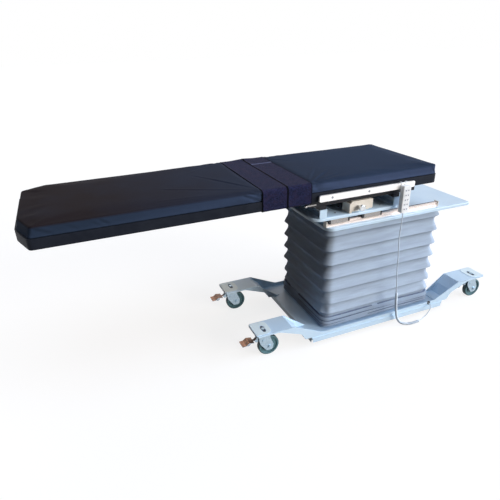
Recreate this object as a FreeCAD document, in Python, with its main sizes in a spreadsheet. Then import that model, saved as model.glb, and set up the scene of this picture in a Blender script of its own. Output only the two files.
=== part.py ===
import FreeCAD, Part
import math
import os
import re
import Sketcher

# Mobile imaging table: a cantilevered float-top on a telescopic column over a four-caster base.
# +X runs along the tabletop towards the foot end, +Y is the far side, +Z is up, millimetres.
# Sizes are written from the column's axis at floor level; the finished pieces are then moved so
# that the origin is the middle of the whole table's footprint.

sizes = {
    # casters
    "wheelDia": 125, "wheelWide": 32, "tyreThick": 17, "tyreChamfer": 5, "hubWide": 36, "hubDia": 26,
    "axleDia": 10, "axleHead": 18, "axleHeadTall": 6,
    "axleFit": 0.05, "axleWasher": 22, "axleWasherThick": 2, "trail": 30, "casterTall": 166,
    "kingpinX": 761, "kingpinY": 260, "flangeLong": 90, "flangeWide": 84, "flangeThick": 5,
    "racewayDia": 66, "racewayTall": 15, "kingpinDia": 12, "kingpinHead": 20, "kingpinHeadTall": 5,
    "kingpinFit": 0.3, "crownTall": 8, "forkSheet": 3, "forkGap": 40, "forkEye": 24.5, "forkTaper": 2,
    "forkShoulder": 36, "forkWaist": 58, "forkHip": 28, "forkRound": 15, "forkSoft": 9, "swivelGap": 0.3,
    "rivetDia": 12, "rivetTall": 3, "rivetX": -8, "rivetDrop": 29,
    "pedalPinX": -44, "pedalPinDrop": 26, "pedalPinDia": 6, "pedalPinFit": 0.08, "pedalPinOut": 2,
    "pedalBarrel": 12, "pedalReach": 134, "pedalWide": 56, "pedalNeck": 16, "pedalSheet": 3,
    "pedalTip": 22, "pedalTipDrop": 5, "pedalCrest": 40, "pedalRise": 9, "pedalNeckRun": 20,
    "pedalSoft": 5, "camDia": 26, "camWide": 20, "camX": -92, "camDrop": 9,
    "earSheet": 3, "earFit": 0.4, "earRound": 10, "earRun": 22,
    # base
    "panClear": 30, "panTall": 32, "panLong": 960, "panWide": 642, "panSheet": 3, "panRound": 6,
    "cheekInset": 3, "cheekSheet": 5, "cheekTall": 24, "cheekLip": 9, "cheekTopEnd": 412,
    "cheekPeak": 10, "cheekFoot": 4, "cheekSweep": 60, "cheekGap": 0.5, "throatRun": 79,
    "throatRound": 70, "bellyRun": 58, "bellyDrop": 62, "bellyRound": 30, "heelRun": 86, "heelRise": 6,
    "heelRound": 12, "finReach": 28, "finPeak": 5, "finTip": 2,
    "padLong": 216, "padOverhang": 60, "padSheet": 6, "noseLong": 15, "padCorner": 14, "armWide": 122,
    "rampSheet": 5, "rampLean": 0.8, "rampKneeRun": 57, "rampKneeDrop": 50, "rampKneeRound": 24,
    "rampFootRun": 92, "rampLap": 40, "rampRound": 8, "doublerSheet": 2, "doublerLong": 98,
    "doublerInset": 6, "doublerRound": 34, "slotLong": 62, "slotWide": 24,
    # column
    "footLong": 240, "footWide": 220, "footThick": 10, "stageLong": 388, "stageX": 220, "stageY": 180,
    "stageWall": 6, "stageGap": 2, "stageFit": 0.4, "columnTall": 640, "stageRound": 14,
    "glideTall": 40, "footBolt": 11, "footBoltIn": 20,
    "motorDia": 62, "motorLong": 120, "gearboxLong": 84, "gearboxWide": 74, "gearboxTall": 70,
    "gearGap": 4, "controlLong": 170, "controlWide": 62, "controlTall": 110, "controlGap": 14,
    # bellows
    "bellowsLong": 792, "bellowsWide": 550, "pleatDeep": 22, "bellowsRound": 52, "bellowsSheet": 3,
    "cornerFolds": 3,
    "openPleats": 7, "stackPleats": 5, "stackPitch": 9, "clampThick": 9, "clampFlange": 22,
    "clampGap": 0.3, "bellowsShift": 12,
    # platform and float rails
    "platformHead": 402, "platformFoot": 577, "platformInset": 2, "platformTall": 18,
    "platformSheet": 3, "platformRound": 46, "platformTip": 12, "platformSoft": 6,
    "floatGap": 50, "floatRailWide": 24, "floatRailTall": 26, "floatRailInset": 37, "railWaist": 4,
    "stopThick": 6, "stopTall": 32, "stopWide": 30,
    "blockLong": 104, "blockWide": 44, "blockTall": 30, "blockPitch": 208, "blockMid": 222,
    "wiperThick": 12, "wiperInset": 1.5, "blockFit": 0.4, "floatBack": 5, "floatOut": 399,
    # carriage
    "trayHead": 492, "trayFoot": 62, "trayInset": 2, "trayTall": 16, "traySheet": 4, "trayRound": 16,
    "beamHead": 433, "beamFoot": 28, "beamInset": 7, "beamWide": 40, "beamTall": 45, "beamSheet": 4,
    "riserTall": 20, "riserLong": 60,
    "lockX": 195, "lockLong": 134, "lockWide": 66, "lockTall": 52, "lockRise": 10, "lockInset": 9,
    "lockPlate": 13, "lockPlateDrop": 8, "knobDia": 34, "knobLong": 20, "knobX": 211, "knobDrop": 34,
    "knobShaft": 16, "knobStem": 14, "knobChamfer": 3, "screwHead": 8, "screwSink": 2,
    # tabletop
    "frameHead": 504, "frameFoot": 150, "frameInset": 43, "frameWide": 50, "frameTall": 30,
    "frameSheet": 4, "saddleLong": 64,
    "headReach": 1825, "footReach": 285, "topWide": 610, "panelTall": 49, "panelSoft": 4,
    "headCutX": 52, "headCutY": 138, "padTall": 51.7, "padInset": 1.5, "padGap": 0.3, "padSoft": 10,
    "footRound": 26,
    "strapWide": 132, "strapThick": 3, "strapGap": 0.5, "strapHead": 709, "strapSpace": 2,
    "strapSag": 9, "strapDent": 1, "dentMargin": 1,
    "railLong": 588, "railMid": 181, "railTall": 33, "railThick": 10, "railGap": 12, "railDrop": 11,
    "railPitch": 221, "screwHeadDia": 12, "screwCone": 3, "screwShank": 6, "screwFit": 0.3,
    "railScrewSink": 0.3, "spacerDia": 16,
    # handset
    "handsetX": 43, "handsetWide": 50, "handsetTall": 152, "handsetDeep": 26, "handsetTop": 908,
    "hookSheet": 2, "hookWide": 46, "hookGap": 0.4, "hookLip": 14, "hookNotch": 22, "handsetRound": 7,
    "handsetBevel": 2.5,
    "handsetSplit": 12, "keyWide": 30, "keyTall": 14, "keyPitch": 26, "keyFirst": 26, "keyProud": 1.5,
    "keyFit": 0.6, "keyDeep": 5, "keyGap": 0.3, "keyRib": 1.2, "keyDish": 0.8,
    # pendant cord
    "cordDia": 5.5, "coilDia": 16, "coilGap": 0.4, "glandX": 370, "glandRise": 14, "glandDia": 14,
    "glandFlange": 20, "glandLip": 2, "glandFit": 0.2,
}

doc = FreeCAD.newDocument("imaging_table")
sheet = doc.addObject("Spreadsheet::Sheet", "Sizes")
for row, (alias, value) in enumerate(sizes.items(), start=1):
    sheet.set("A%d" % row, alias)
    sheet.set("B%d" % row, str(value))
    sheet.setAlias("B%d" % row, alias)
doc.recompute()

# Sizes that follow from others, used as words in every expression below.
derived = {
    "platformWide": "(topWide - 2 * platformInset)",
    "trayWide": "(topWide - 2 * trayInset)",
    "beamLong": "(topWide - 2 * beamInset)",
    "floatRailY": "(topWide / 2 - floatRailInset)",
    "frameY": "(topWide / 2 - frameInset)",
    "lockFront": "(topWide / 2 - lockInset)",
    "strapNext": "(strapHead - strapWide - strapSpace)",
    "keyFace": "(keyDeep + keyProud - keyGap - keyRib)",
}

aliasWord = re.compile(r"\b(" + "|".join(sizes) + r")\b")
finished = []


def size(alias):
    return float(sheet.get(alias))


def bound(text):
    for word, formula in derived.items():
        text = re.sub(r"\b%s\b" % word, formula, text)
    return aliasWord.sub(r"Sizes.\1", text)


def bind(item, prop, text):
    item.setExpression(prop, bound(text))


# Heights of the stack, each worked out from the pieces below it.
PAN_TOP = "(panClear + panTall)"
CHEEK_TOP = "(panClear + panTall + cheekTall)"
PAD_TOP = "(casterTall + padSheet)"
PLATFORM = "(panClear + panTall + columnTall)"
PLATFORM_TOP = "(panClear + panTall + columnTall + platformTall)"
TRAY = "(panClear + panTall + columnTall + platformTall + floatGap)"
TRAY_TOP = "(panClear + panTall + columnTall + platformTall + floatGap + trayTall)"
BEAM_TOP = "(panClear + panTall + columnTall + platformTall + floatGap + trayTall + beamTall)"
FRAME = "(%s + riserTall)" % BEAM_TOP
PANEL = "(%s + frameTall)" % FRAME
PANEL_TOP = "(%s + panelTall)" % PANEL

# Ends of the float rails: the runner blocks' reach plus the travel each way.
BLOCK_REACH = "(blockPitch / 2 + blockLong / 2 + wiperThick)"
FLOAT_RAIL_HEAD = "(blockMid + %s + floatBack)" % BLOCK_REACH
FLOAT_RAIL_FOOT = "(%s - blockMid + floatOut)" % BLOCK_REACH

# A caster arm along X: its outer end, where its pad starts, and the knee and foot of its ramp.
PAD_END = "(kingpinX + padOverhang)"
PAD_START = "(kingpinX + padOverhang - padLong)"
PAN_END = "(panLong / 2 + cheekGap)"
KNEE = "(%s - rampKneeRun)" % PAD_START
FOOT = "(%s - rampFootRun)" % PAD_START
WEB_OUT = "(panWide / 2 - cheekInset)"

# The caster fork's underside and the pedal's pin.
CROWN_TOP = "(casterTall - flangeThick - racewayTall - swivelGap)"
PEDAL_PIN = "(%s - crownTall - pedalPinDrop)" % CROWN_TOP

# The footprint's middle, seen from the column's axis.
WHEEL_REACH = "(kingpinX + trail + wheelDia / 2)"
RAIL_OUT = "(topWide / 2 + railGap + railThick)"
HANDSET_FRONT = "(%s + hookGap + hookSheet + handsetDeep + keyProud)" % RAIL_OUT
COLUMN_X = "(headReach - %s) / 2" % WHEEL_REACH
COLUMN_Y = "(%s - %s) / 2" % (HANDSET_FRONT, RAIL_OUT)

panTop = size("panClear") + size("panTall")
platformZ = panTop + size("columnTall")
platformTop = platformZ + size("platformTall")
trayZ = platformTop + size("floatGap")
trayTop = trayZ + size("trayTall")
panelZ = trayTop + size("beamTall") + size("riserTall") + size("frameTall")
panelTop = panelZ + size("panelTall")
railOut = size("topWide") / 2 + size("railGap") + size("railThick")
handsetBack = railOut + size("hookGap") + size("hookSheet")
handsetFront = handsetBack + size("handsetDeep")


def finish(item, label, x="0", y="0", z="0"):
    """Names a finished piece and moves it from the column's axis to the table's origin."""
    item.Label = label
    bind(item, "Placement.Base.x", "%s + %s" % (COLUMN_X, x))
    bind(item, "Placement.Base.y", "%s + %s" % (COLUMN_Y, y))
    bind(item, "Placement.Base.z", z)
    finished.append(item)
    return item


def newBody(name):
    return doc.addObject("PartDesign::Body", name)


def sketchOn(body, plane, offset="0"):
    sketch = body.newObject("Sketcher::SketchObject", body.Name + "_sketch")
    origin = [item for item in body.Origin.OriginFeatures if item.Role == plane][0]
    sketch.AttachmentSupport = (origin, [""])
    sketch.MapMode = "FlatFace"
    bind(sketch, "AttachmentOffset.Base.z", offset)
    return sketch


def dimension(sketch, kind, geometry, vertex, text):
    index = sketch.addConstraint(Sketcher.Constraint(kind, -1, 1, geometry, vertex, 1.0))
    bind(sketch, "Constraints[%d]" % index, text)


def outline(sketch, points):
    """Draws a closed outline through points given as pairs of sizes."""
    count = len(points)
    first = sketch.GeometryCount
    ring = [FreeCAD.Vector(math.cos(2 * math.pi * i / count), math.sin(2 * math.pi * i / count), 0)
            for i in range(count)]
    for i in range(count):
        sketch.addGeometry(Part.LineSegment(ring[i] * 50, ring[(i + 1) % count] * 50))
    for i in range(count):
        after = first + (i + 1) % count
        sketch.addConstraint(Sketcher.Constraint("Coincident", first + i, 2, after, 1))
    for i, (across, up) in enumerate(points):
        dimension(sketch, "DistanceX", first + i, 1, across)
        dimension(sketch, "DistanceY", first + i, 1, up)


def rectangle(sketch, left, right, low, high):
    outline(sketch, [(left, low), (right, low), (right, high), (left, high)])


def circle(sketch, across, up, diameter):
    index = sketch.addGeometry(Part.Circle(FreeCAD.Vector(0, 0, 0), FreeCAD.Vector(0, 0, 1), 5))
    dimension(sketch, "DistanceX", index, 3, across)
    dimension(sketch, "DistanceY", index, 3, up)
    radius = sketch.addConstraint(Sketcher.Constraint("Diameter", index, 10.0))
    bind(sketch, "Constraints[%d]" % radius, diameter)


def feature(body, kind, sketch, **lengths):
    item = body.newObject("PartDesign::" + kind, "%s_%s" % (body.Name, kind))
    item.Profile = sketch
    for prop, text in lengths.items():
        bind(item, prop, text)
    return item


def cut(body, sketch, length, flipped=False):
    """Pockets a sketch and makes sure that it takes material away."""
    doc.recompute()
    before = body.Shape.Volume
    item = feature(body, "Pocket", sketch, Length=length)
    item.Reversed = flipped
    doc.recompute()
    if not body.Shape.Volume < before - 1e-3:
        raise RuntimeError("a pocket in %s cuts nothing" % body.Name)
    return item


def edgesAlong(base, axis, where=None):
    names = []
    for index, edge in enumerate(base.Shape.Edges, start=1):
        if edge.Curve.TypeId != "Part::GeomLine":
            continue
        way = edge.Vertexes[-1].Point - edge.Vertexes[0].Point
        if way.Length < 1e-6 or abs(abs(way.normalize().dot(axis)) - 1) > 1e-6:
            continue
        if where is None or where(edge.CenterOfMass):
            names.append("Edge%d" % index)
    return names


def rounded(body, base, names, radius):
    item = body.newObject("PartDesign::Fillet", body.Name + "_round")
    item.Base = (base, names)
    bind(item, "Radius", radius)
    doc.recompute()
    return item


def faceAt(base, axis, place):
    for index, face in enumerate(base.Shape.Faces, start=1):
        centre = face.CenterOfMass
        if abs(centre.dot(axis) - place) < 1e-4 and abs(abs(face.normalAt(0, 0).dot(axis)) - 1) < 1e-6:
            return ["Face%d" % index]
    raise RuntimeError("no face at %s in %s" % (place, base.Name))


X = FreeCAD.Vector(1, 0, 0)
Y = FreeCAD.Vector(0, 1, 0)
Z = FreeCAD.Vector(0, 0, 1)


def slab(name, left, right, low, high, under, thick, radius=None, where=None):
    """A flat plate in plan with its upright corners rounded."""
    body = newBody(name)
    plan = sketchOn(body, "XY_Plane", under)
    rectangle(plan, left, right, low, high)
    pad = feature(body, "Pad", plan, Length=thick)
    doc.recompute()
    if radius:
        pad = rounded(body, pad, edgesAlong(pad, Z, where), radius)
    return body, pad


def shelled(body, base, axis, place, sheetThick):
    """Hollows a solid inwards, open at one flat face."""
    item = body.newObject("PartDesign::Thickness", body.Name + "_shell")
    item.Base = (base, faceAt(base, axis, place))
    item.Reversed = True
    bind(item, "Value", sheetThick)
    doc.recompute()
    return item


def block(name, left, right, low, high, under, over):
    """A plain box between six bound faces."""
    item = doc.addObject("Part::Box", name)
    bind(item, "Length", "(%s) - (%s)" % (right, left))
    bind(item, "Width", "(%s) - (%s)" % (high, low))
    bind(item, "Height", "(%s) - (%s)" % (over, under))
    bind(item, "Placement.Base.x", left)
    bind(item, "Placement.Base.y", low)
    bind(item, "Placement.Base.z", under)
    return item


def rod(name, x, y, z, diameter, length, axis="Z"):
    """A round bar that starts at a point and runs along +X, +Y or +Z."""
    item = doc.addObject("Part::Cylinder", name)
    bind(item, "Radius", "(%s) / 2" % diameter)
    bind(item, "Height", length)
    turns = {"X": FreeCAD.Rotation(Y, 90), "Y": FreeCAD.Rotation(X, -90), "Z": FreeCAD.Rotation()}
    item.Placement = FreeCAD.Placement(FreeCAD.Vector(), turns[axis])
    bind(item, "Placement.Base.x", x)
    bind(item, "Placement.Base.y", y)
    bind(item, "Placement.Base.z", z)
    return item


def hexagon(name, x, y, z, across, length, axis="Z"):
    """A hexagonal bar, such as a nut or a bolt's head, by its width across the corners."""
    item = doc.addObject("Part::Prism", name)
    item.Polygon = 6
    bind(item, "Circumradius", "(%s) / 2" % across)
    bind(item, "Height", length)
    turns = {"Y": FreeCAD.Rotation(X, -90), "Z": FreeCAD.Rotation()}
    item.Placement = FreeCAD.Placement(FreeCAD.Vector(), turns[axis])
    bind(item, "Placement.Base.x", x)
    bind(item, "Placement.Base.y", y)
    bind(item, "Placement.Base.z", z)
    return item


def fuse(name, items):
    item = doc.addObject("Part::MultiFuse", name)
    item.Shapes = items
    item.Refine = True
    return item


def minus(name, base, tool):
    item = doc.addObject("Part::Cut", name)
    item.Base = base
    item.Tool = tool
    item.Refine = True
    return item


def group(name, items):
    """Separate solids that share one node."""
    item = doc.addObject("Part::Compound", name)
    item.Links = items
    return item


def softEdges(name, base, radius, choose):
    doc.recompute()
    item = doc.addObject("Part::Fillet", name)
    item.Base = base
    item.Edges = [(index, radius, radius) for index, edge in enumerate(base.Shape.Edges, start=1)
                  if choose(edge)]
    return item


# ---------------------------------------------------------------- casters

caster = {"near_left": (-1, -1), "far_left": (-1, 1), "near_right": (1, -1), "far_right": (1, 1)}


def casterAt(item, label, corner):
    alongX, alongY = caster[corner]
    return finish(item, "%s_%s" % (label, corner), "%d * kingpinX" % alongX, "%d * kingpinY" % alongY)


def revolved(name, points):
    """A body turned about its own Y axis from a half section in (radius, width)."""
    body = newBody(name)
    section = sketchOn(body, "XY_Plane")
    outline(section, points)
    turn = body.newObject("PartDesign::Revolution", name + "_turn")
    turn.Profile = section
    turn.ReferenceAxis = ([item for item in body.Origin.OriginFeatures if item.Role == "Y_Axis"][0], [""])
    turn.Angle = 360
    return body


def makeWheel(corner):
    """Tread, hub disc with its web, and the bore that runs on the axle."""
    bore = "(axleDia / 2 + axleFit)"
    half = [(bore, "hubWide / 2"), ("hubDia / 2", "hubWide / 2"), ("hubDia / 2", "wheelWide / 4"),
            ("(wheelDia / 2 - tyreThick)", "wheelWide / 4"),
            ("(wheelDia / 2 - tyreThick)", "wheelWide / 2"), ("(wheelDia / 2 - tyreChamfer)", "wheelWide / 2"),
            ("wheelDia / 2", "(wheelWide / 2 - tyreChamfer)")]
    mirrored = [(radius, "-" + across) for radius, across in half]
    body = revolved("wheel_" + corner, half + mirrored[::-1])
    alongX, alongY = caster[corner]
    finish(body, "wheel_" + corner, "%d * kingpinX + trail" % alongX, "%d * kingpinY" % alongY, "wheelDia / 2")


def makeFork(corner):
    """Pressed fork: a crown disc, two teardrop legs round the axle's eye, and the axle bolt."""
    name = "fork_" + corner
    crown = rod(name + "_crown", "0", "0", "%s - crownTall" % CROWN_TOP, "racewayDia", "crownTall")
    legs = []
    rivets = []
    axle = "wheelDia / 2"
    outer = "racewayDia / 2"
    for side, start, rivetStart in (("near", "forkGap / 2 + forkSheet", "-(forkGap / 2 + forkSheet + rivetTall)"),
                                    ("far", "-forkGap / 2", "forkGap / 2 + forkSheet")):
        leg = newBody("%s_leg_%s" % (name, side))
        section = sketchOn(leg, "XZ_Plane", start)
        outline(section, [
            ("-" + outer, CROWN_TOP + " - crownTall / 2"),
            ("-%s + forkTaper" % outer, CROWN_TOP + " - forkShoulder"),
            ("-%s + 4 * forkTaper" % outer, CROWN_TOP + " - forkWaist"),
            ("trail - 0.75 * forkEye", axle + " - forkEye"), ("trail + 0.8 * forkEye", axle + " - forkEye"),
            ("trail + forkEye", axle + " + 0.4 * forkEye"),
            (outer + " + 1.5 * forkTaper", CROWN_TOP + " - forkHip"), (outer, CROWN_TOP + " - crownTall / 2")])
        pad = feature(leg, "Pad", section, Length="forkSheet")
        pad.Reversed = True
        doc.recompute()
        axleZ = size("wheelDia") / 2
        hip = size("casterTall") - size("forkHip")
        pad = rounded(leg, pad, edgesAlong(pad, Y, lambda p: p.z < axleZ), "forkRound")
        rounded(leg, pad, edgesAlong(pad, Y, lambda p: axleZ < p.z < hip), "forkSoft")
        legs.append(leg)
        rivets.append(rod("%s_rivet_%s" % (name, side), "rivetX", rivetStart, CROWN_TOP + " - crownTall - rivetDrop",
                          "rivetDia", "rivetTall", "Y"))
    axleHalf = "(forkGap / 2 + forkSheet + axleWasherThick + axleHeadTall)"
    washerHalf = "(forkGap / 2 + forkSheet + axleWasherThick)"
    bolt = rod(name + "_axle", "trail", "-" + axleHalf, axle, "axleDia", "2 * " + axleHalf, "Y")
    heads = [hexagon("%s_bolt_%s" % (name, end), "trail", y, axle, "axleHead", "axleHeadTall", "Y")
             for end, y in (("head", "-" + axleHalf), ("nut", washerHalf))]
    heads += [block("%s_washer_%s" % (name, end), "trail - axleWasher / 2", "trail + axleWasher / 2", y,
                    y + " + axleWasherThick", axle + " - axleWasher / 2", axle + " + axleWasher / 2")
              for end, y in (("head", "-" + washerHalf), ("nut", "forkGap / 2 + forkSheet"))]
    ears = []
    for side, low, high in (("near", "-(pedalNeck / 2 + earFit + earSheet)", "-(pedalNeck / 2 + earFit)"),
                            ("far", "pedalNeck / 2 + earFit", "pedalNeck / 2 + earFit + earSheet")):
        arm = block("%s_ear_%s" % (name, side), "pedalPinX", "-earRun", low, high,
                    PEDAL_PIN, CROWN_TOP + " - crownTall / 2")
        eye = rod("%s_eye_%s" % (name, side), "pedalPinX", low, PEDAL_PIN, "2 * earRound", "earSheet", "Y")
        ears += [arm, eye]
    pinHalf = "(pedalNeck / 2 + earFit + earSheet + pedalPinOut)"
    pin = rod(name + "_pedal_pin", "pedalPinX", "-" + pinHalf, PEDAL_PIN, "pedalPinDia", "2 * " + pinHalf, "Y")
    casterAt(fuse(name, [crown] + legs + [bolt, pin] + heads + ears + rivets), "fork", corner)


def makePedal(corner):
    """Brake pedal: a barrel on the fork's pin, a round cam and a wide tread bent in a wave."""
    name = "pedal_" + corner
    tip = PEDAL_PIN + " - pedalTipDrop"
    crest = PEDAL_PIN + " + pedalRise"
    neck = "(pedalPinX - pedalNeckRun)"
    wave = [("-pedalReach", tip), ("-pedalReach + pedalTip", tip + " + 1"),
            ("-pedalReach + pedalCrest", crest), (neck, PEDAL_PIN + " + pedalSheet")]
    tread = newBody(name + "_tread")
    section = sketchOn(tread, "XZ_Plane", "pedalWide / 2")
    outline(section, [(x, z + " - pedalSheet / 2") for x, z in wave]
            + [(x, z + " + pedalSheet / 2") for x, z in reversed(wave)])
    pad = feature(tread, "Pad", section, Length="pedalWide")
    pad.Reversed = True
    doc.recompute()
    bends = edgesAlong(pad, Y, lambda p: -size("pedalReach") + 8 < p.x < size("pedalPinX") - 30)
    rounded(tread, pad, bends, "pedalSoft")
    bar = block(name + "_neck", neck + " - pedalSoft", "pedalPinX", "-pedalNeck / 2", "pedalNeck / 2",
                PEDAL_PIN + " + pedalSheet / 4", PEDAL_PIN + " + pedalSheet * 1.5")
    barrel = rod(name + "_barrel", "pedalPinX", "-pedalNeck / 2", PEDAL_PIN, "pedalBarrel", "pedalNeck", "Y")
    cam = rod(name + "_cam", "camX", "-camWide / 2", PEDAL_PIN + " - camDrop", "camDia", "camWide", "Y")
    stem = block(name + "_stem", "camX", "camX + camDia / 4", "-camWide / 2", "camWide / 2",
                 PEDAL_PIN + " - camDrop", crest + " - pedalSheet / 2")
    whole = fuse(name + "_whole", [tread, bar, barrel, cam, stem])
    bore = rod(name + "_bore", "pedalPinX", "-pedalNeck / 2 - 1", PEDAL_PIN, "pedalPinDia + 2 * pedalPinFit",
               "pedalNeck + 2", "Y")
    casterAt(minus(name, whole, bore), "pedal", corner)


def makeCasterPlates():
    plates = []
    pins = []
    for corner, (alongX, alongY) in caster.items():
        x = "%d * kingpinX" % alongX
        y = "%d * kingpinY" % alongY
        flange = block("flange_" + corner, x + " - flangeLong / 2", x + " + flangeLong / 2",
                       y + " - flangeWide / 2", y + " + flangeWide / 2", "casterTall - flangeThick", "casterTall")
        race = rod("raceway_" + corner, x, y, "casterTall - flangeThick - racewayTall", "racewayDia", "racewayTall")
        housing = fuse("housing_" + corner, [flange, race])
        bore = rod("bore_" + corner, x, y, "casterTall - flangeThick - racewayTall - 1", "kingpinDia + 2 * kingpinFit",
                   "flangeThick + racewayTall + 2")
        plates.append(minus("plate_" + corner, housing, bore))
        shank = rod("shank_" + corner, x, y, "casterTall - flangeThick - racewayTall", "kingpinDia",
                    "flangeThick + racewayTall + padSheet + kingpinHeadTall / 2")
        head = hexagon("nut_" + corner, x, y, PAD_TOP, "kingpinHead", "kingpinHeadTall")
        pins.append(fuse("kingpin_" + corner, [shank, head]))
    finish(group("caster_plates", plates), "caster_plates")
    finish(group("caster_kingpins", pins), "caster_kingpins")


# ---------------------------------------------------------------- base

def makePan():
    """Inverted steel pan: a flat top sheet with four turned-down flanges."""
    body, pad = slab("base_pan", "-panLong / 2", "panLong / 2", "-panWide / 2", "panWide / 2",
                     "panClear", "panTall", "panRound")
    shelled(body, pad, Z, size("panClear"), "panSheet")
    relief = sketchOn(body, "XY_Plane", "panClear")
    for alongX in (-1, 1):
        for alongY in (-1, 1):
            circle(relief, "%d * (panLong / 2 - panSheet)" % alongX, "%d * (panWide / 2 - panSheet)" % alongY,
                   "panRound * 2")
    cut(body, relief, "panTall * 0.6", flipped=True)
    finish(body, "base_pan")


def underEdge():
    """Lower edge of a cheek or web from the pad's end in to the pan: lip, throat, belly and heel."""
    return [(PAD_END + " - noseLong", PAD_TOP), (PAD_END + " - noseLong", PAD_TOP + " - cheekLip"),
            (PAD_START + " + throatRun", PAD_TOP + " - cheekLip"),
            (PAD_START + " - bellyRun", PAD_TOP + " - bellyDrop"),
            (PAD_START + " - heelRun", PAN_TOP + " + heelRise"), (PAN_END, PAN_TOP + " + cheekFoot")]


def sweptEdges(body, pad):
    """Rounds the throat, belly and heel of a plate drawn with underEdge."""
    start = size("kingpinX") + size("padOverhang") - size("padLong")
    for run, radius in (("throatRun", "throatRound"), ("bellyRun", "bellyRound"), ("heelRun", "heelRound")):
        place = start + size(run) * (1 if run == "throatRun" else -1)
        names = edgesAlong(pad, Y, lambda p: abs(abs(p.x) - place) < 1 and p.z < size("casterTall"))
        pad = rounded(body, pad, names, radius)
    return pad


def makeCheeks():
    """Long side plates: a lip at the caster pads, deep along the pan, with a swept throat between."""
    plates = []
    for side, start in (("near", WEB_OUT), ("far", "-(%s - cheekSheet)" % WEB_OUT)):
        body = newBody("cheek_" + side)
        section = sketchOn(body, "XZ_Plane", start)
        lower = underEdge() + [(PAN_END, PAN_TOP)]
        upper = [(PAD_START + " - cheekPeak", PAD_TOP), ("cheekTopEnd", CHEEK_TOP)]
        mirrored = [("-(%s)" % x, z) for x, z in reversed(lower)]
        outline(section, lower + mirrored + [("-(%s)" % x, z) for x, z in upper] + upper[::-1])
        pad = feature(body, "Pad", section, Length="cheekSheet")
        pad.Reversed = True
        doc.recompute()
        pad = sweptEdges(body, pad)
        end = size("cheekTopEnd")
        pad = rounded(body, pad, edgesAlong(pad, Y, lambda p: p.x > 0 and abs(p.x - end) < 1
                                            or p.x < 0 and abs(p.x + end) < 1), "cheekSweep")
        peak = size("kingpinX") + size("padOverhang") - size("padLong") - size("cheekPeak")
        pad = rounded(body, pad, edgesAlong(pad, Y, lambda p: abs(abs(p.x) - peak) < 1), "cheekSweep / 2")
        if side == "near":
            notch = sketchOn(body, "XZ_Plane", WEB_OUT)
            rectangle(notch, "glandX - glandDia / 2", "glandX + glandDia / 2", PAN_TOP + " + glandRise", CHEEK_TOP + " + 1")
            cut(body, notch, "cheekSheet")
            eye = sketchOn(body, "XZ_Plane", WEB_OUT)
            circle(eye, "glandX", PAN_TOP + " + glandRise", "glandDia")
            cut(body, eye, "cheekSheet")
        plates.append(body)
    finish(group("side_cheeks", plates), "side_cheeks")


def armPlan(alongX, low, high):
    """Ends of a stretch along an arm, in order from left to right."""
    return (low, high) if alongX > 0 else ("-(%s)" % high, "-(%s)" % low)


def makeRamp(corner, alongX, alongY):
    """One bent sheet: the pad, the recessed ramp behind it and the lap on the pan."""
    bend = newBody("arm_bend_" + corner)
    inside = "(%s - cheekSheet)" % WEB_OUT
    section = sketchOn(bend, "XZ_Plane", {-1: inside, 1: "-(%s - armWide)" % inside}[alongY])
    lean = "rampSheet * rampLean"
    sink = "rampSheet * sqrt(1 - rampLean ^ 2)"
    points = [
        (PAD_END + " - noseLong", PAD_TOP), (PAD_START, PAD_TOP), (KNEE, PAD_TOP + " - rampKneeDrop"),
        (FOOT, PAN_TOP + " + rampSheet"), ("panLong / 2 - rampLap", PAN_TOP + " + rampSheet"),
        ("panLong / 2 - rampLap", PAN_TOP), ("%s + %s" % (FOOT, lean), PAN_TOP),
        ("%s + %s" % (KNEE, lean), "%s - rampKneeDrop - %s" % (PAD_TOP, sink)),
        (PAD_START, PAD_TOP + " - padSheet"), (PAD_END + " - noseLong", PAD_TOP + " - padSheet")]
    outline(section, [("%d * (%s)" % (alongX, x), z) for x, z in points])
    pad = feature(bend, "Pad", section, Length="armWide")
    pad.Reversed = True
    doc.recompute()
    start = size("kingpinX") + size("padOverhang") - size("padLong")
    knee = start - size("rampKneeRun")
    pad = rounded(bend, pad, edgesAlong(pad, Y, lambda p: abs(abs(p.x) - knee) < size("rampSheet")), "rampKneeRound")
    rounded(bend, pad, edgesAlong(pad, Y, lambda p: abs(abs(p.x) - start) < 1 and p.z > size("casterTall") + 1), "rampRound")
    return bend


def makeWeb(corner, alongX, alongY):
    """Inner web of an arm, which runs down on to the pan as a pointed fin."""
    web = newBody("arm_web_" + corner)
    inside = "(%s - cheekSheet - armWide)" % WEB_OUT
    section = sketchOn(web, "XZ_Plane", {-1: inside, 1: "-(%s - cheekSheet)" % inside}[alongY])
    fin = "(panLong / 2 - finReach)"
    points = underEdge() + [(PAN_END, PAN_TOP), (fin, PAN_TOP), (fin, PAN_TOP + " + finTip"),
                            (PAD_START + " - finPeak", PAD_TOP)]
    outline(section, [("%d * (%s)" % (alongX, x), z) for x, z in points])
    pad = feature(web, "Pad", section, Length="cheekSheet")
    pad.Reversed = True
    doc.recompute()
    sweptEdges(web, pad)
    return web


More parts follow.
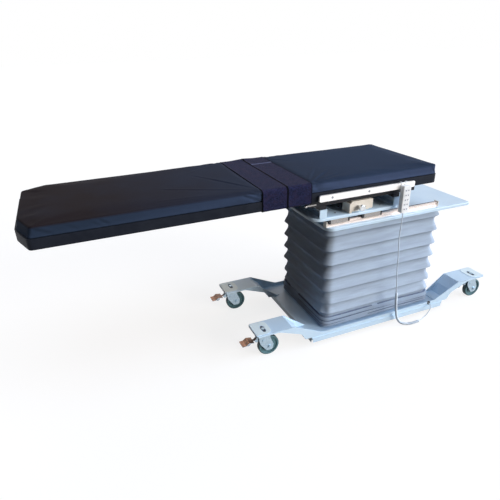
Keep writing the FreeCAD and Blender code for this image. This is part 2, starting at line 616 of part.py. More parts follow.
def makeArms():
    """Four arms: a ramp from the pan up to a flat caster pad, an inner web, a nose and a doubler."""
    arms = []
    for corner, (alongX, alongY) in caster.items():
        inner = "%s - armWide - 2 * cheekSheet" % WEB_OUT
        low, high = {-1: ("-" + WEB_OUT, "-(%s)" % inner), 1: (inner, WEB_OUT)}[alongY]
        left, right = armPlan(alongX, PAD_END + " - noseLong", PAD_END)
        nose, _ = slab("arm_nose_" + corner, left, right, low, high, PAD_TOP + " - cheekLip", "cheekLip", "padCorner",
                       lambda p: abs(p.x) > size("kingpinX") + size("padOverhang") - 1)
        left, right = armPlan(alongX, PAD_END + " - doublerLong", PAD_END + " - doublerInset / 2")
        doubler, _ = slab("doubler_" + corner, left, right, low + " + doublerInset", high + " - doublerInset",
                          PAD_TOP, "doublerSheet", "doublerRound",
                          lambda p: abs(p.x) < size("kingpinX"))
        pinX = "%d * kingpinX" % alongX
        pinY = "%d * kingpinY" % alongY
        half = "(slotLong - slotWide) / 2"
        slot = fuse("slot_" + corner, [
            rod("slot_low_" + corner, pinX, "%s - %s" % (pinY, half), PAD_TOP, "slotWide", "doublerSheet + 1"),
            rod("slot_high_" + corner, pinX, "%s + %s" % (pinY, half), PAD_TOP, "slotWide", "doublerSheet + 1"),
            block("slot_mid_" + corner, pinX + " - slotWide / 2", pinX + " + slotWide / 2", "%s - %s" % (pinY, half),
                  "%s + %s" % (pinY, half), PAD_TOP, PAD_TOP + " + doublerSheet + 1")])
        plate = minus("doubler_plate_" + corner, doubler, slot)
        bore = rod("arm_bore_" + corner, pinX, pinY, "casterTall - 1", "kingpinDia + 2 * kingpinFit", "padSheet + 2")
        whole = fuse("arm_whole_" + corner, [makeRamp(corner, alongX, alongY), makeWeb(corner, alongX, alongY),
                                             nose, plate])
        arms.append(minus("arm_" + corner, whole, bore))
    finish(group("caster_arms", arms), "caster_arms")


# ---------------------------------------------------------------- column and drive

def tube(name, outX, outY, under, length):
    """One stage of the telescopic column: a rounded rectangular tube."""
    body, pad = slab(name, "-%s / 2" % outX, "%s / 2" % outX, "-%s / 2" % outY, "%s / 2" % outY, under, length,
                     "stageRound")
    bore = sketchOn(body, "XY_Plane", under)
    rectangle(bore, "-%s / 2 + stageWall" % outX, "%s / 2 - stageWall" % outX,
              "-%s / 2 + stageWall" % outY, "%s / 2 - stageWall" % outY)
    cut(body, bore, length, flipped=True)
    return body


def makeColumn():
    footTop = "(%s + footThick)" % PAN_TOP
    foot, _ = slab("column_foot", "-footLong / 2", "footLong / 2", "-footWide / 2", "footWide / 2",
                   PAN_TOP, "footThick", "stageRound")
    holes = sketchOn(foot, "XY_Plane", footTop)
    for alongX in (-1, 1):
        for alongY in (-1, 1):
            circle(holes, "%d * (footLong / 2 - footBoltIn)" % alongX, "%d * (footWide / 2 - footBoltIn)" % alongY,
                   "footBolt")
    cut(foot, holes, "footThick")
    finish(foot, "column_foot")
    step = "2 * (stageWall + stageGap)"
    finish(tube("column_outer", "stageX", "stageY", footTop, "stageLong"), "column_outer")
    middleLow = "((%s + %s - stageLong) / 2)" % (footTop, PLATFORM)
    finish(tube("column_middle", "(stageX - %s)" % step, "(stageY - %s)" % step, middleLow, "stageLong"),
           "column_middle")
    finish(tube("column_inner", "(stageX - 2 * %s)" % step, "(stageY - 2 * %s)" % step,
                "(%s - stageLong)" % PLATFORM, "stageLong"), "column_inner")
    rings = []
    for name, outX, outY, top in (
            ("outer", "stageX", "stageY", "(%s + stageLong)" % footTop),
            ("middle", "(stageX - %s)" % step, "(stageY - %s)" % step, "(%s + stageLong)" % middleLow)):
        body, _ = slab("glide_%s" % name, "-%s / 2 + stageWall" % outX, "%s / 2 - stageWall" % outX,
                       "-%s / 2 + stageWall" % outY, "%s / 2 - stageWall" % outY, top + " - glideTall", "glideTall")
        bore = sketchOn(body, "XY_Plane", top + " - glideTall")
        rectangle(bore, "-%s / 2 + stageWall + stageGap - stageFit" % outX,
                  "%s / 2 - stageWall - stageGap + stageFit" % outX,
                  "-%s / 2 + stageWall + stageGap - stageFit" % outY,
                  "%s / 2 - stageWall - stageGap + stageFit" % outY)
        cut(body, bore, "glideTall", flipped=True)
        rings.append(body)
    finish(rings[0], "glide_ring_outer")
    finish(rings[1], "glide_ring_middle")


def makeDrive():
    gearLeft = "footLong / 2 + gearGap"
    housing = block("gearbox", gearLeft, gearLeft + " + gearboxLong", "-gearboxWide / 2", "gearboxWide / 2",
                    PAN_TOP, PAN_TOP + " + gearboxTall")
    soft = softEdges("gearbox_soft", housing, 8, lambda edge: abs(edge.tangentAt(0).z) > 0.9)
    motor = rod("motor_can", gearLeft + " + gearboxLong / 2", "gearboxWide / 2", PAN_TOP + " + gearboxTall / 2 + 2",
                "motorDia", "motorLong", "Y")
    cap = rod("motor_cap", gearLeft + " + gearboxLong / 2", "gearboxWide / 2 + motorLong",
              PAN_TOP + " + gearboxTall / 2 + 2", "motorDia - 8", "10", "Y")
    link = block("drive_link", "stageX / 2", gearLeft, "-16", "16", PAN_TOP + " + footThick", PAN_TOP + " + gearboxTall - 20")
    finish(fuse("lift_motor", [soft, motor, cap, link]), "lift_motor")
    body, pad = slab("control_box", "-footLong / 2 - controlGap - controlLong", "-footLong / 2 - controlGap",
                     "-controlWide / 2", "controlWide / 2", PAN_TOP, "controlTall", "panRound")
    finish(body, "control_box")


# ---------------------------------------------------------------- bellows

def ringPoints(halfX, halfY, radius, z):
    """A rectangle in plan whose corners are folded in a few straight creases."""
    folds = int(size("cornerFolds"))
    points = []
    for quarter, (alongX, alongY) in enumerate(((1, 1), (-1, 1), (-1, -1), (1, -1))):
        for step in range(folds + 1):
            angle = math.pi / 2 * (quarter + step / folds)
            points.append(FreeCAD.Vector(alongX * (halfX - radius) + radius * math.cos(angle),
                                         alongY * (halfY - radius) + radius * math.sin(angle), z))
    return points


def pleatHeights():
    """Folds from the bottom clamp up: a tight stack first, then the open pleats."""
    low = panTop + size("clampThick")
    high = platformZ - size("clampThick")
    stack = int(size("stackPleats"))
    opened = int(size("openPleats"))
    heights = [low + size("stackPitch") * i for i in range(stack + 1)]
    pitch = (high - heights[-1]) / opened
    heights += [heights[-1] + pitch * (i + 1) for i in range(opened)]
    return heights


def bellowsSkin(inset):
    """Flat panels between valley and crest rings, moved inwards by inset."""
    halfX = size("bellowsLong") / 2 - inset
    halfY = size("bellowsWide") / 2 - inset
    deep = size("pleatDeep")
    corner = size("bellowsRound") - inset
    heights = pleatHeights()
    rings = []
    for index, z in enumerate(heights):
        rings.append(ringPoints(halfX - deep, halfY - deep, corner - deep / 2, z))
        if index + 1 < len(heights):
            rings.append(ringPoints(halfX, halfY, corner, (z + heights[index + 1]) / 2))
    panels = [Part.Face(Part.makePolygon(ring + ring[:1])) for ring in (rings[0], rings[-1])]
    for lower, upper in zip(rings, rings[1:]):
        for i in range(len(lower)):
            after = (i + 1) % len(lower)
            panels.append(Part.Face(Part.makePolygon([lower[i], lower[after], upper[after], upper[i], lower[i]])))
    return Part.Solid(Part.makeShell(panels))


def makeBellows():
    skin = bellowsSkin(0).cut(bellowsSkin(size("bellowsSheet") + 1))
    item = doc.addObject("Part::Feature", "bellows")
    item.Shape = skin
    finish(item, "bellows", "bellowsShift")
    valleyX = "(bellowsLong / 2 - pleatDeep)"
    valleyY = "(bellowsWide / 2 - pleatDeep)"
    for name, under in (("clamp_bottom", PAN_TOP), ("clamp_top", PLATFORM + " - clampThick + clampGap")):
        thick = "clampThick - clampGap"
        body, pad = slab(name, "-" + valleyX, valleyX, "-" + valleyY, valleyY, under, thick, "bellowsRound - pleatDeep / 2")
        bore = sketchOn(body, "XY_Plane", under)
        rectangle(bore, "-(%s - clampFlange)" % valleyX, "%s - clampFlange" % valleyX,
                  "-(%s - clampFlange)" % valleyY, "%s - clampFlange" % valleyY)
        cut(body, bore, thick, flipped=True)
        finish(body, name, "bellowsShift")


# ---------------------------------------------------------------- platform and float rails

def makePlatform():
    """Top plate of the column: a pan turned down at its edges, with a long wing to the foot end."""
    body, pad = slab("platform_sheet", "-platformHead", "platformFoot", "-platformWide / 2", "platformWide / 2",
                     PLATFORM, "platformTall", "platformRound", lambda p: p.x < 0)
    tip = rounded(body, pad, edgesAlong(pad, Z, lambda p: p.x > size("platformFoot") - 1), "platformTip")
    top = [("Edge%d" % i) for i, edge in enumerate(tip.Shape.Edges, start=1)
           if abs(edge.CenterOfMass.z - platformTop) < 1e-4]
    rounded(body, tip, top, "platformSoft")
    hollow = sketchOn(body, "XY_Plane", PLATFORM)
    inset = "(platformSoft + platformSheet)"
    corner = "(platformRound * 0.4 + platformSheet)"
    low = "-(platformWide / 2 - %s)" % inset
    head = "-(platformHead - %s)" % inset
    outline(hollow, [
        ("-(platformHead - %s)" % corner, low + " + platformRound * 0.4"), (head + " + platformRound * 0.6", low),
        ("platformFoot - " + inset, low), ("platformFoot - " + inset, "-" + low),
        (head + " + platformRound * 0.6", "-" + low), ("-(platformHead - %s)" % corner, "-(%s + platformRound * 0.4)" % low)])
    cut(body, hollow, "platformTall - platformSheet", flipped=True)
    seat = block("column_head", "-stageX / 2", "stageX / 2", "-stageY / 2", "stageY / 2", PLATFORM,
                 PLATFORM_TOP + " - platformSheet")
    finish(fuse("platform_welded", [body, seat]), "platform")


def makeFloatRails():
    rails = []
    stops = []
    for side, sign in (("near", -1), ("far", 1)):
        middle = "%d * floatRailY" % sign
        body = newBody("float_rail_" + side)
        section = sketchOn(body, "YZ_Plane", "-" + FLOAT_RAIL_HEAD)
        half = "floatRailWide / 2"
        waist = "(floatRailWide / 2 - railWaist)"
        low = PLATFORM_TOP
        outline(section, [
            ("%s - %s" % (middle, half), low), ("%s + %s" % (middle, half), low),
            ("%s + %s" % (middle, half), low + " + floatRailTall * 0.35"),
            ("%s + %s" % (middle, waist), low + " + floatRailTall * 0.5"),
            ("%s + %s" % (middle, waist), low + " + floatRailTall * 0.7"),
            ("%s + %s" % (middle, half), low + " + floatRailTall * 0.85"),
            ("%s + %s" % (middle, half), low + " + floatRailTall"),
            ("%s - %s" % (middle, half), low + " + floatRailTall"),
            ("%s - %s" % (middle, half), low + " + floatRailTall * 0.85"),
            ("%s - %s" % (middle, waist), low + " + floatRailTall * 0.7"),
            ("%s - %s" % (middle, waist), low + " + floatRailTall * 0.5"),
            ("%s - %s" % (middle, half), low + " + floatRailTall * 0.35")])
        feature(body, "Pad", section, Length="%s + %s" % (FLOAT_RAIL_HEAD, FLOAT_RAIL_FOOT))
        rails.append(body)
        for end, x in (("head", "-%s - stopThick" % FLOAT_RAIL_HEAD), ("foot", FLOAT_RAIL_FOOT)):
            stops.append(block("stop_%s_%s" % (end, side), x, x + " + stopThick", middle + " - stopWide / 2",
                               middle + " + stopWide / 2", PLATFORM_TOP, PLATFORM_TOP + " + stopTall"))
    finish(group("float_rails", rails), "float_rails")
    finish(group("rail_stops", stops), "rail_stops")


def makeBearings():
    """Runner blocks that saddle the rails, with a dark wiper at each end."""
    blocks = []
    wipers = []
    for side, sign in (("near", -1), ("far", 1)):
        for place, shift in (("head", "-blockPitch / 2"), ("foot", "blockPitch / 2")):
            middle = "%d * floatRailY" % sign
            x = "-blockMid + " + shift
            for kind, left, right, store in (
                    ("block", "-blockLong / 2", "blockLong / 2", blocks),
                    ("wiper_a", "-blockLong / 2 - wiperThick", "-blockLong / 2", wipers),
                    ("wiper_b", "blockLong / 2", "blockLong / 2 + wiperThick", wipers)):
                name = "%s_%s_%s" % (kind, place, side)
                inset = "0" if kind == "block" else "wiperInset"
                body = block(name + "_body", x + " + " + left, x + " + " + right,
                             middle + " - blockWide / 2 + " + inset, middle + " + blockWide / 2 - " + inset,
                             TRAY + " - blockTall", TRAY + " - " + inset)
                slot = block(name + "_slot", x + " + " + left + " - 1", x + " + " + right + " + 1",
                             middle + " - floatRailWide / 2 - blockFit", middle + " + floatRailWide / 2 + blockFit",
                             TRAY + " - blockTall - 1", PLATFORM_TOP + " + floatRailTall + blockFit")
                store.append(minus(name, body, slot))
    finish(group("bearing_blocks", blocks), "bearing_blocks")
    finish(group("block_wipers", wipers), "block_wipers")


# ---------------------------------------------------------------- carriage

def makeTray():
    body, pad = slab("tray_sheet", "-trayHead", "trayFoot", "-trayWide / 2", "trayWide / 2", TRAY, "trayTall",
                     "trayRound")
    shelled(body, pad, Z, trayZ, "traySheet")
    screws = sketchOn(body, "XY_Plane", TRAY_TOP)
    for sign in (-1, 1):
        for shift in ("-blockPitch / 2", "blockPitch / 2"):
            for step in (-1, 1):
                circle(screws, "-blockMid + %s + %d * blockLong / 3" % (shift, step), "%d * floatRailY" % sign,
                       "screwHead")
    cut(body, screws, "screwSink")
    pads = []
    for sign in (-1, 1):
        pads.append(block("tray_pad_%s" % ("near" if sign < 0 else "far"), "-blockMid - blockPitch / 2 - blockLong / 2",
                          "-blockMid + blockPitch / 2 + blockLong / 2", "%d * floatRailY - blockWide / 2" % sign,
                          "%d * floatRailY + blockWide / 2" % sign, TRAY, TRAY_TOP + " - traySheet"))
    finish(fuse("tray_welded", [body] + pads), "carriage_tray")


def makeCrossBeams():
    """Folded channels across the tray, open to the head end, with risers for the top's frame."""
    beams = []
    risers = []
    for name, place in (("head", "-beamHead"), ("foot", "beamFoot")):
        body = newBody("cross_beam_" + name)
        section = sketchOn(body, "XZ_Plane", "beamLong / 2")
        left = place + " - beamWide / 2"
        right = place + " + beamWide / 2"
        outline(section, [
            (left, TRAY_TOP), (right, TRAY_TOP), (right, BEAM_TOP), (left, BEAM_TOP),
            (left, BEAM_TOP + " - beamSheet"), (right + " - beamSheet", BEAM_TOP + " - beamSheet"),
            (right + " - beamSheet", TRAY_TOP + " + beamSheet"), (left, TRAY_TOP + " + beamSheet")])
        pad = feature(body, "Pad", section, Length="beamLong")
        pad.Reversed = True
        beams.append(body)
        for side, sign in (("near", -1), ("far", 1)):
            middle = "%d * frameY" % sign
            risers.append(block("riser_%s_%s" % (name, side), left, right, middle + " - riserLong / 2",
                                middle + " + riserLong / 2", BEAM_TOP, FRAME))
    finish(group("cross_beams", beams), "cross_beams")
    finish(group("frame_risers", risers), "frame_risers")


def makeLock():
    """Float lock: a moulded housing on the tray with a cheek plate, and its round release knob."""
    low = TRAY_TOP
    case = block("lock_case", "-lockX - lockLong / 2", "-lockX + lockLong / 2", "-lockFront", "-lockFront + lockWide",
                 low + " + lockRise", low + " + lockRise + lockTall")
    soft = softEdges("lock_soft", case, 5, lambda edge: abs(edge.tangentAt(0).y) > 0.9)
    foot = block("lock_foot", "-lockX - lockLong / 2 + 12", "-lockX + lockLong / 2 - 12", "-lockFront + 14",
                 "-lockFront + lockWide - 6", low, low + " + lockRise + 6")
    plate = block("lock_cheek", "-lockX - lockLong / 2 - lockPlate", "-lockX - lockLong / 2 + 1", "-lockFront - 4",
                  "-lockFront + lockWide", low, low + " + lockRise + lockTall - lockPlateDrop")
    whole = fuse("lock_whole", [soft, foot, plate])
    finish(whole, "lock_box")


def makeKnob():
    knobZ = "(%s + lockRise + lockTall - knobDrop)" % TRAY_TOP
    front = "-(lockFront + knobStem + knobLong)"
    grip = rod("knob_grip", "0", front, "0", "knobDia", "knobLong", "Y")
    doc.recompute()
    rims = [(index, size("knobChamfer"), size("knobChamfer"))
            for index, edge in enumerate(grip.Shape.Edges, start=1) if edge.Closed and len(edge.Vertexes) == 1]
    soft = doc.addObject("Part::Chamfer", "knob_soft")
    soft.Base = grip
    soft.Edges = rims
    stem = rod("knob_stem", "0", "-(lockFront + knobStem)", "0", "knobShaft", "knobStem", "Y")
    finish(fuse("lock_knob", [soft, stem]), "lock_knob", "-knobX", "0", knobZ)


# ---------------------------------------------------------------- tabletop

def makeSupportFrame():
    """Two long channels under the panel, joined by a saddle over each cross beam."""
    parts = []
    for side, sign in (("near", -1), ("far", 1)):
        body = newBody("frame_" + side)
        section = sketchOn(body, "YZ_Plane", "-frameHead")
        middle = "%d * frameY" % sign
        outer = "%s + %d * frameWide / 2" % (middle, sign)
        inner = "%s - %d * frameWide / 2" % (middle, sign)
        outline(section, [
            (outer, PANEL), (inner, PANEL), (inner, FRAME), (inner + " + %d * frameSheet" % sign, FRAME),
            (inner + " + %d * frameSheet" % sign, PANEL + " - frameSheet"),
            (outer + " - %d * frameSheet" % sign, PANEL + " - frameSheet"),
            (outer + " - %d * frameSheet" % sign, FRAME), (outer, FRAME)])
        feature(body, "Pad", section, Length="frameHead + frameFoot")
        parts.append(body)
    for name, place in (("head", "-beamHead"), ("foot", "beamFoot")):
        parts.append(block("saddle_" + name, place + " - saddleLong / 2", place + " + saddleLong / 2",
                           "-frameY - frameWide / 2 + frameSheet", "frameY + frameWide / 2 - frameSheet",
                           FRAME, FRAME + " + frameSheet * 2"))
    finish(fuse("support_frame", parts), "support_frame")


def topPlan(body, under, inset):
    """Plan of the top: long sides straight, the head end drawn in at both corners."""
    head = "(headReach - %s)" % inset
    half = "(topWide / 2 - %s)" % inset
    foot = "(footReach - %s)" % inset
    plan = sketchOn(body, "XY_Plane", under)
    outline(plan, [
        ("-%s" % head, "-(%s - headCutY)" % half), ("-(%s - headCutX)" % head, "-" + half), (foot, "-" + half),
        (foot, half), ("-(%s - headCutX)" % head, half), ("-%s" % head, "%s - headCutY" % half)])
    return plan


def topCorners(body, pad):
    middle = -size("headReach") / 2
    softened = rounded(body, pad, edgesAlong(pad, Z, lambda p: p.x < middle), "headCutX * 0.8")
    return rounded(body, softened, edgesAlong(softened, Z, lambda p: p.x > 0), "footRound")


def makeTop():
    panel = newBody("tabletop_panel")
    pad = feature(panel, "Pad", topPlan(panel, PANEL, "0"), Length="panelTall")
    doc.recompute()
    corners = topCorners(panel, pad)
    rims = ["Edge%d" % i for i, edge in enumerate(corners.Shape.Edges, start=1)
            if abs(edge.CenterOfMass.z - panelZ) < 1e-4]
    rounded(panel, corners, rims, "panelSoft")
    finish(panel, "tabletop_panel")
    mattress = newBody("mattress")
    cushion = feature(mattress, "Pad", topPlan(mattress, PANEL_TOP + " + padGap", "padInset"), Length="padTall")
    doc.recompute()
    corners = topCorners(mattress, cushion)
    top = ["Edge%d" % i for i, edge in enumerate(corners.Shape.Edges, start=1)
           if edge.CenterOfMass.z > panelTop + size("padTall")]
    rounded(mattress, corners, top, "padSoft")
    dent = sketchOn(mattress, "XY_Plane", PANEL_TOP + " + padGap + padTall")
    rectangle(dent, "-(strapHead + strapWide / 2 + dentMargin)", "-(strapNext - strapWide / 2 - dentMargin)",
              "-topWide / 2", "topWide / 2")
    cut(mattress, dent, "strapDent")
    finish(mattress, "mattress")


def makeStrap(name, middle):
    """A wide band round the mattress and the panel, slack underneath."""
    body = newBody(name)
    section = sketchOn(body, "YZ_Plane", "-%s - strapWide / 2" % middle)
    half = "(topWide / 2 + strapGap)"
    top = "(%s + padGap + padTall - strapDent + strapGap)" % PANEL_TOP
    low = "(%s - strapGap)" % PANEL
    rectangle(section, "-(%s + strapThick)" % half, "%s + strapThick" % half, "%s - strapThick - strapSag" % low,
              top + " + strapThick")
    pad = feature(body, "Pad", section, Length="strapWide")
    doc.recompute()
    pad = rounded(body, pad, edgesAlong(pad, X, lambda p: p.z > panelTop), "padSoft + strapThick")
    pad = rounded(body, pad, edgesAlong(pad, X, lambda p: p.z < panelTop), "strapSag")
    band = body.newObject("PartDesign::Thickness", name + "_band")
    ends = ["Face%d" % index for index, face in enumerate(pad.Shape.Faces, start=1)
            if abs(abs(face.normalAt(0, 0).x) - 1) < 1e-6]
    band.Base = (pad, ends)
    band.Reversed = True
    bind(band, "Value", "strapThick")
    finish(body, name)


def railScrew(name, x, z, sign, fit):
    """Countersunk screw through a rail and its spacer; a fit widens it to the tool for its hole."""
    face = "(%s - railScrewSink)" % RAIL_OUT
    head = "(screwHeadDia / 2 + %s)" % fit
    shank = "(screwShank / 2 + %s)" % fit
    cone = doc.addObject("Part::Cone", name + "_cone")
    bind(cone, "Radius1", head if sign < 0 else shank)
    bind(cone, "Radius2", shank if sign < 0 else head)
    bind(cone, "Height", "screwCone")
    cone.Placement = FreeCAD.Placement(FreeCAD.Vector(), FreeCAD.Rotation(X, -90))
    bind(cone, "Placement.Base.x", x)
    bind(cone, "Placement.Base.y", "-" + face if sign < 0 else face + " - screwCone")
    bind(cone, "Placement.Base.z", z)
    start = "-" + face if sign < 0 else "topWide / 2"
    return [cone, rod(name + "_shank", x, start, z, "2 * " + shank, face + " - topWide / 2", "Y")]


def makeRails():
    """Flat accessory rails on spacers, each held by three countersunk screws."""
    spacers = []
    screws = []
    for side, sign in (("near", -1), ("far", 1)):
        inner = "(topWide / 2 + railGap)"
        low = "%s - railDrop" % PANEL_TOP
        bar = newBody("rail_bar_" + side)
        start = {-1: inner + " + railThick", 1: "-" + inner}[sign]
        section = sketchOn(bar, "XZ_Plane", start)
        rectangle(section, "-railMid - railLong / 2", "-railMid + railLong / 2", low + " - railTall", low)
        pad = feature(bar, "Pad", section, Length="railThick")
        pad.Reversed = True
        doc.recompute()
        rounded(bar, pad, edgesAlong(pad, Y), "railTall / 4")
        holes = []
        for step in (-1, 0, 1):
            x = "-railMid + %d * railPitch" % step
            z = "%s - railTall / 2" % low
            tag = "%s_%d" % (side, step + 1)
            y = {-1: "-" + inner, 1: "topWide / 2"}[sign]
            tool = railScrew("rail_hole_" + tag, x, z, sign, "screwFit")
            mouth = {-1: "-" + RAIL_OUT, 1: RAIL_OUT + " - railScrewSink"}[sign]
            holes += tool + [rod("rail_mouth_" + tag, x, mouth, z, "screwHeadDia + 2 * screwFit", "railScrewSink", "Y")]
            ring = rod("spacer_ring_" + tag, x, y, z, "spacerDia", "railGap", "Y")
            bore = rod("spacer_bore_" + tag, x, y, z, "screwShank + 2 * screwFit", "railGap", "Y")
            spacers.append(minus("spacer_" + tag, ring, bore))
            screws.append(fuse("rail_screw_" + tag, railScrew("screw_" + tag, x, z, sign, "0")))
        finish(minus("rail_" + side, bar, fuse("rail_holes_" + side, holes)), "accessory_rail_" + side)
    finish(group("rail_spacers", spacers), "rail_spacers")
    finish(group("rail_screws", screws), "rail_screws")


# ---------------------------------------------------------------- handset

def makeHandset():
    back = "(%s + hookGap + hookSheet)" % RAIL_OUT
    front = "(%s + handsetDeep)" % back
    split = "(%s + handsetSplit)" % back
    left = "handsetX - handsetWide / 2"
    right = "handsetX + handsetWide / 2"
    low = "handsetTop - handsetTall"
    railTop = "(%s - railDrop)" % PANEL_TOP
    behind = "(%s - railThick - hookGap)" % RAIL_OUT
    hook = newBody("handset_hook")
    section = sketchOn(hook, "YZ_Plane", "handsetX - hookWide / 2")
    outline(section, [
        ("-" + back, "handsetTop - 60"), ("-" + back, railTop + " + hookGap + hookSheet"),
        ("-(%s - hookSheet)" % behind, railTop + " + hookGap + hookSheet"),
        ("-(%s - hookSheet)" % behind, railTop + " - hookLip"), ("-" + behind, railTop + " - hookLip"),
        ("-" + behind, railTop + " + hookGap"), ("-(%s - hookSheet)" % back, railTop + " + hookGap"),
        ("-(%s - hookSheet)" % back, "handsetTop - 60")])
    feature(hook, "Pad", section, Length="hookWide")
    notch = sketchOn(hook, "XZ_Plane", "%s + 1" % back)
    rectangle(notch, "handsetX - hookNotch / 2 - 3", "handsetX + hookNotch / 2 - 3",
              railTop + " - railTall - 2", railTop + " + hookGap + hookSheet + 1")
    cut(hook, notch, "railThick + 2 * hookGap + 2 * hookSheet + 2")
    finish(hook, "handset_hook")

    rear, pad = slab("handset_rear", left, right, "-" + split, "-" + back, low, "handsetTall")
    pad = rounded(rear, pad, edgesAlong(pad, Y), "handsetRound")
    finish(rear, "handset_rear_shell")
    face, pad = slab("handset_face", left, right, "-" + front, "-" + split, low, "handsetTall")
    pad = rounded(face, pad, edgesAlong(pad, Y), "handsetRound")
    rims = ["Edge%d" % i for i, edge in enumerate(pad.Shape.Edges, start=1)
            if abs(edge.CenterOfMass.y + handsetFront) < 1e-4]
    bevel = face.newObject("PartDesign::Chamfer", "handset_face_bevel")
    bevel.Base = (pad, rims)
    bind(bevel, "Size", "handsetBevel")
    doc.recompute()
    windows = sketchOn(face, "XZ_Plane", front)
    for index in range(5):
        middle = "handsetTop - keyFirst - %d * keyPitch" % index
        rectangle(windows, "handsetX - keyWide / 2 - keyFit", "handsetX + keyWide / 2 + keyFit",
                  middle + " - keyTall / 2 - keyFit", middle + " + keyTall / 2 + keyFit")
    cut(face, windows, "keyDeep")
    finish(face, "handset_front_shell")
    for index in range(5):
        middle = "(handsetTop - keyFirst - %d * keyPitch)" % index
        cap = newBody("key_cap_%d" % (index + 1))
        section = sketchOn(cap, "YZ_Plane", "-keyWide / 2")
        outline(section, [
            ("0", "keyRib"), ("0", "-keyRib"), ("-keyRib", "-keyTall / 2"), ("-keyFace", "-keyTall / 2"),
            ("-(keyFace - keyDish)", "0"), ("-keyFace", "keyTall / 2"), ("-keyRib", "keyTall / 2")])
        feature(cap, "Pad", section, Length="keyWide")
        rib = rod("key_rib_%d" % (index + 1), "-keyWide / 2", "0", "0", "2 * keyRib", "keyWide", "X")
        finish(fuse("key_%d" % (index + 1), [cap, rib]), "handset_key_%d" % (index + 1), "handsetX",
               "-(%s - keyDeep + keyGap + keyRib)" % front, middle)


# ---------------------------------------------------------------- pendant cord

def route(name, points, diameter):
    """A tube along straight runs joined by tangent arcs."""
    places = [FreeCAD.Vector(*point) for point in points]
    radii = []
    edges = []
    start = places[0]
    for before, corner, after in zip(places, places[1:], places[2:]):
        back = before - corner
        ahead = after - corner
        turn = math.pi - back.getAngle(ahead)
        reach = 0.45 * min(back.Length, ahead.Length)
        radii.append(reach / math.tan(turn / 2))
        a = corner + back.normalize() * reach
        b = corner + ahead.normalize() * reach
        toward = (a + b) * 0.5 - corner
        depth = radii[-1] / math.cos(turn / 2) - radii[-1]
        middle = corner + toward.normalize() * depth
        edges.append(Part.LineSegment(start, a).toShape())
        edges.append(Part.Arc(a, middle, b).toShape())
        start = b
    edges.append(Part.LineSegment(start, places[-1]).toShape())
    path = Part.Wire(edges)
    way = (places[1] - places[0]).normalize()
    section = Part.Wire(Part.Circle(places[0], way, diameter / 2).toShape())
    tubeShape = path.makePipeShell([section], True, True)
    expected = math.pi * diameter ** 2 / 4 * path.Length
    print("%s: length %.0f mm, radii %s, volume ratio %.4f" % (
        name, path.Length, ["%.0f" % radius for radius in radii], tubeShape.Volume / expected))
    item = doc.addObject("Part::Feature", name)
    item.Shape = tubeShape
    return item


def makeCord():
    handsetLow = size("handsetTop") - size("handsetTall")
    drop = size("handsetX")
    lane = -(handsetBack + size("handsetDeep") / 2)
    hang = [(drop, lane, handsetLow), (drop + 1, lane - 1, 700), (drop - 6, lane - 3, 632), (drop - 3, lane - 4, 560),
            (drop + 6, lane - 4, 480), (drop + 9, lane - 3, 400), (drop + 20, lane - 2, 320),
            (drop + 30, lane - 1, 244)]
    finish(route("cord_upper", hang, size("cordDia")), "cord_upper")
    rest = size("coilDia") / 2 + 0.6
    coil = [(drop + 30, lane - 1, 244 - size("coilGap")), (drop + 37, lane, 176), (drop + 45, lane - 1, 116), (drop + 54, lane - 4, 62),
            (drop + 76, lane - 14, 20), (drop + 122, lane - 30, rest), (drop + 170, lane - 36, rest),
            (drop + 214, lane - 31, rest)]
    finish(route("cord_coil", coil, size("coilDia")), "cord_coil")
    glandZ = panTop + size("glandRise")
    glandY = -(size("panWide") / 2 - size("cheekInset"))
    glandX = size("glandX")
    tail = [coil[-1], (drop + 238, lane - 25.9, rest), (drop + 266, lane - 21, 20), (glandX - 37, glandY - 44, 40),
            (glandX - 16, glandY - 38, 62), (glandX - 2, glandY - 26, glandZ), (glandX, glandY - 2, glandZ)]
    finish(route("cord_tail", tail, size("cordDia")), "cord_tail")


def makeGland():
    """Rubber edging in the near cheek's notch, a U with a lip on each side, through which the cord passes."""
    low = "%s + glandRise" % PAN_TOP
    pieces = []
    for name, outward, thick, wide in (
            ("core", WEB_OUT, "cheekSheet", "(glandDia - 2 * glandFit)"),
            ("lip_near", WEB_OUT + " + glandLip", "glandLip", "glandFlange"),
            ("lip_far", WEB_OUT + " - cheekSheet", "glandLip", "glandFlange")):
        start = "-(%s)" % outward
        pieces.append(rod("gland_eye_" + name, "glandX", start, low, wide, thick, "Y"))
        pieces.append(block("gland_leg_" + name, "glandX - %s / 2" % wide, "glandX + %s / 2" % wide, start,
                            "%s + %s" % (start, thick), low, CHEEK_TOP))
    finish(fuse("cable_gland", pieces), "cable_gland")


for cornerName in caster:
    makeWheel(cornerName)
    makeFork(cornerName)
    makePedal(cornerName)
makeCasterPlates()
makePan()
makeCheeks()
makeArms()
makeColumn()
makeDrive()
makeBellows()
makePlatform()
makeFloatRails()
makeBearings()
makeTray()
makeCrossBeams()
makeLock()
makeKnob()
makeSupportFrame()
makeTop()
makeStrap("strap_head", "strapHead")
makeStrap("strap_foot", "strapNext")
makeRails()
makeHandset()
makeCord()
makeGland()
doc.recompute()

broken = [item.Name for item in doc.Objects if "Invalid" in item.State or "Error" in item.State]
if broken:
    raise RuntimeError("failed objects: " + ", ".join(broken))
for item in finished:
    if item.Shape.isNull() or not item.Shape.isValid() or not item.Shape.Solids:
        raise RuntimeError("bad shape: " + item.Label)

os.makedirs("parts", exist_ok=True)
for item in finished:
    item.Shape.exportStep("parts/%s.step" % item.Label)
print("%d pieces written" % len(finished))
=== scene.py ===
import bpy
import bmesh
import math
from mathutils import Matrix, Vector, noise


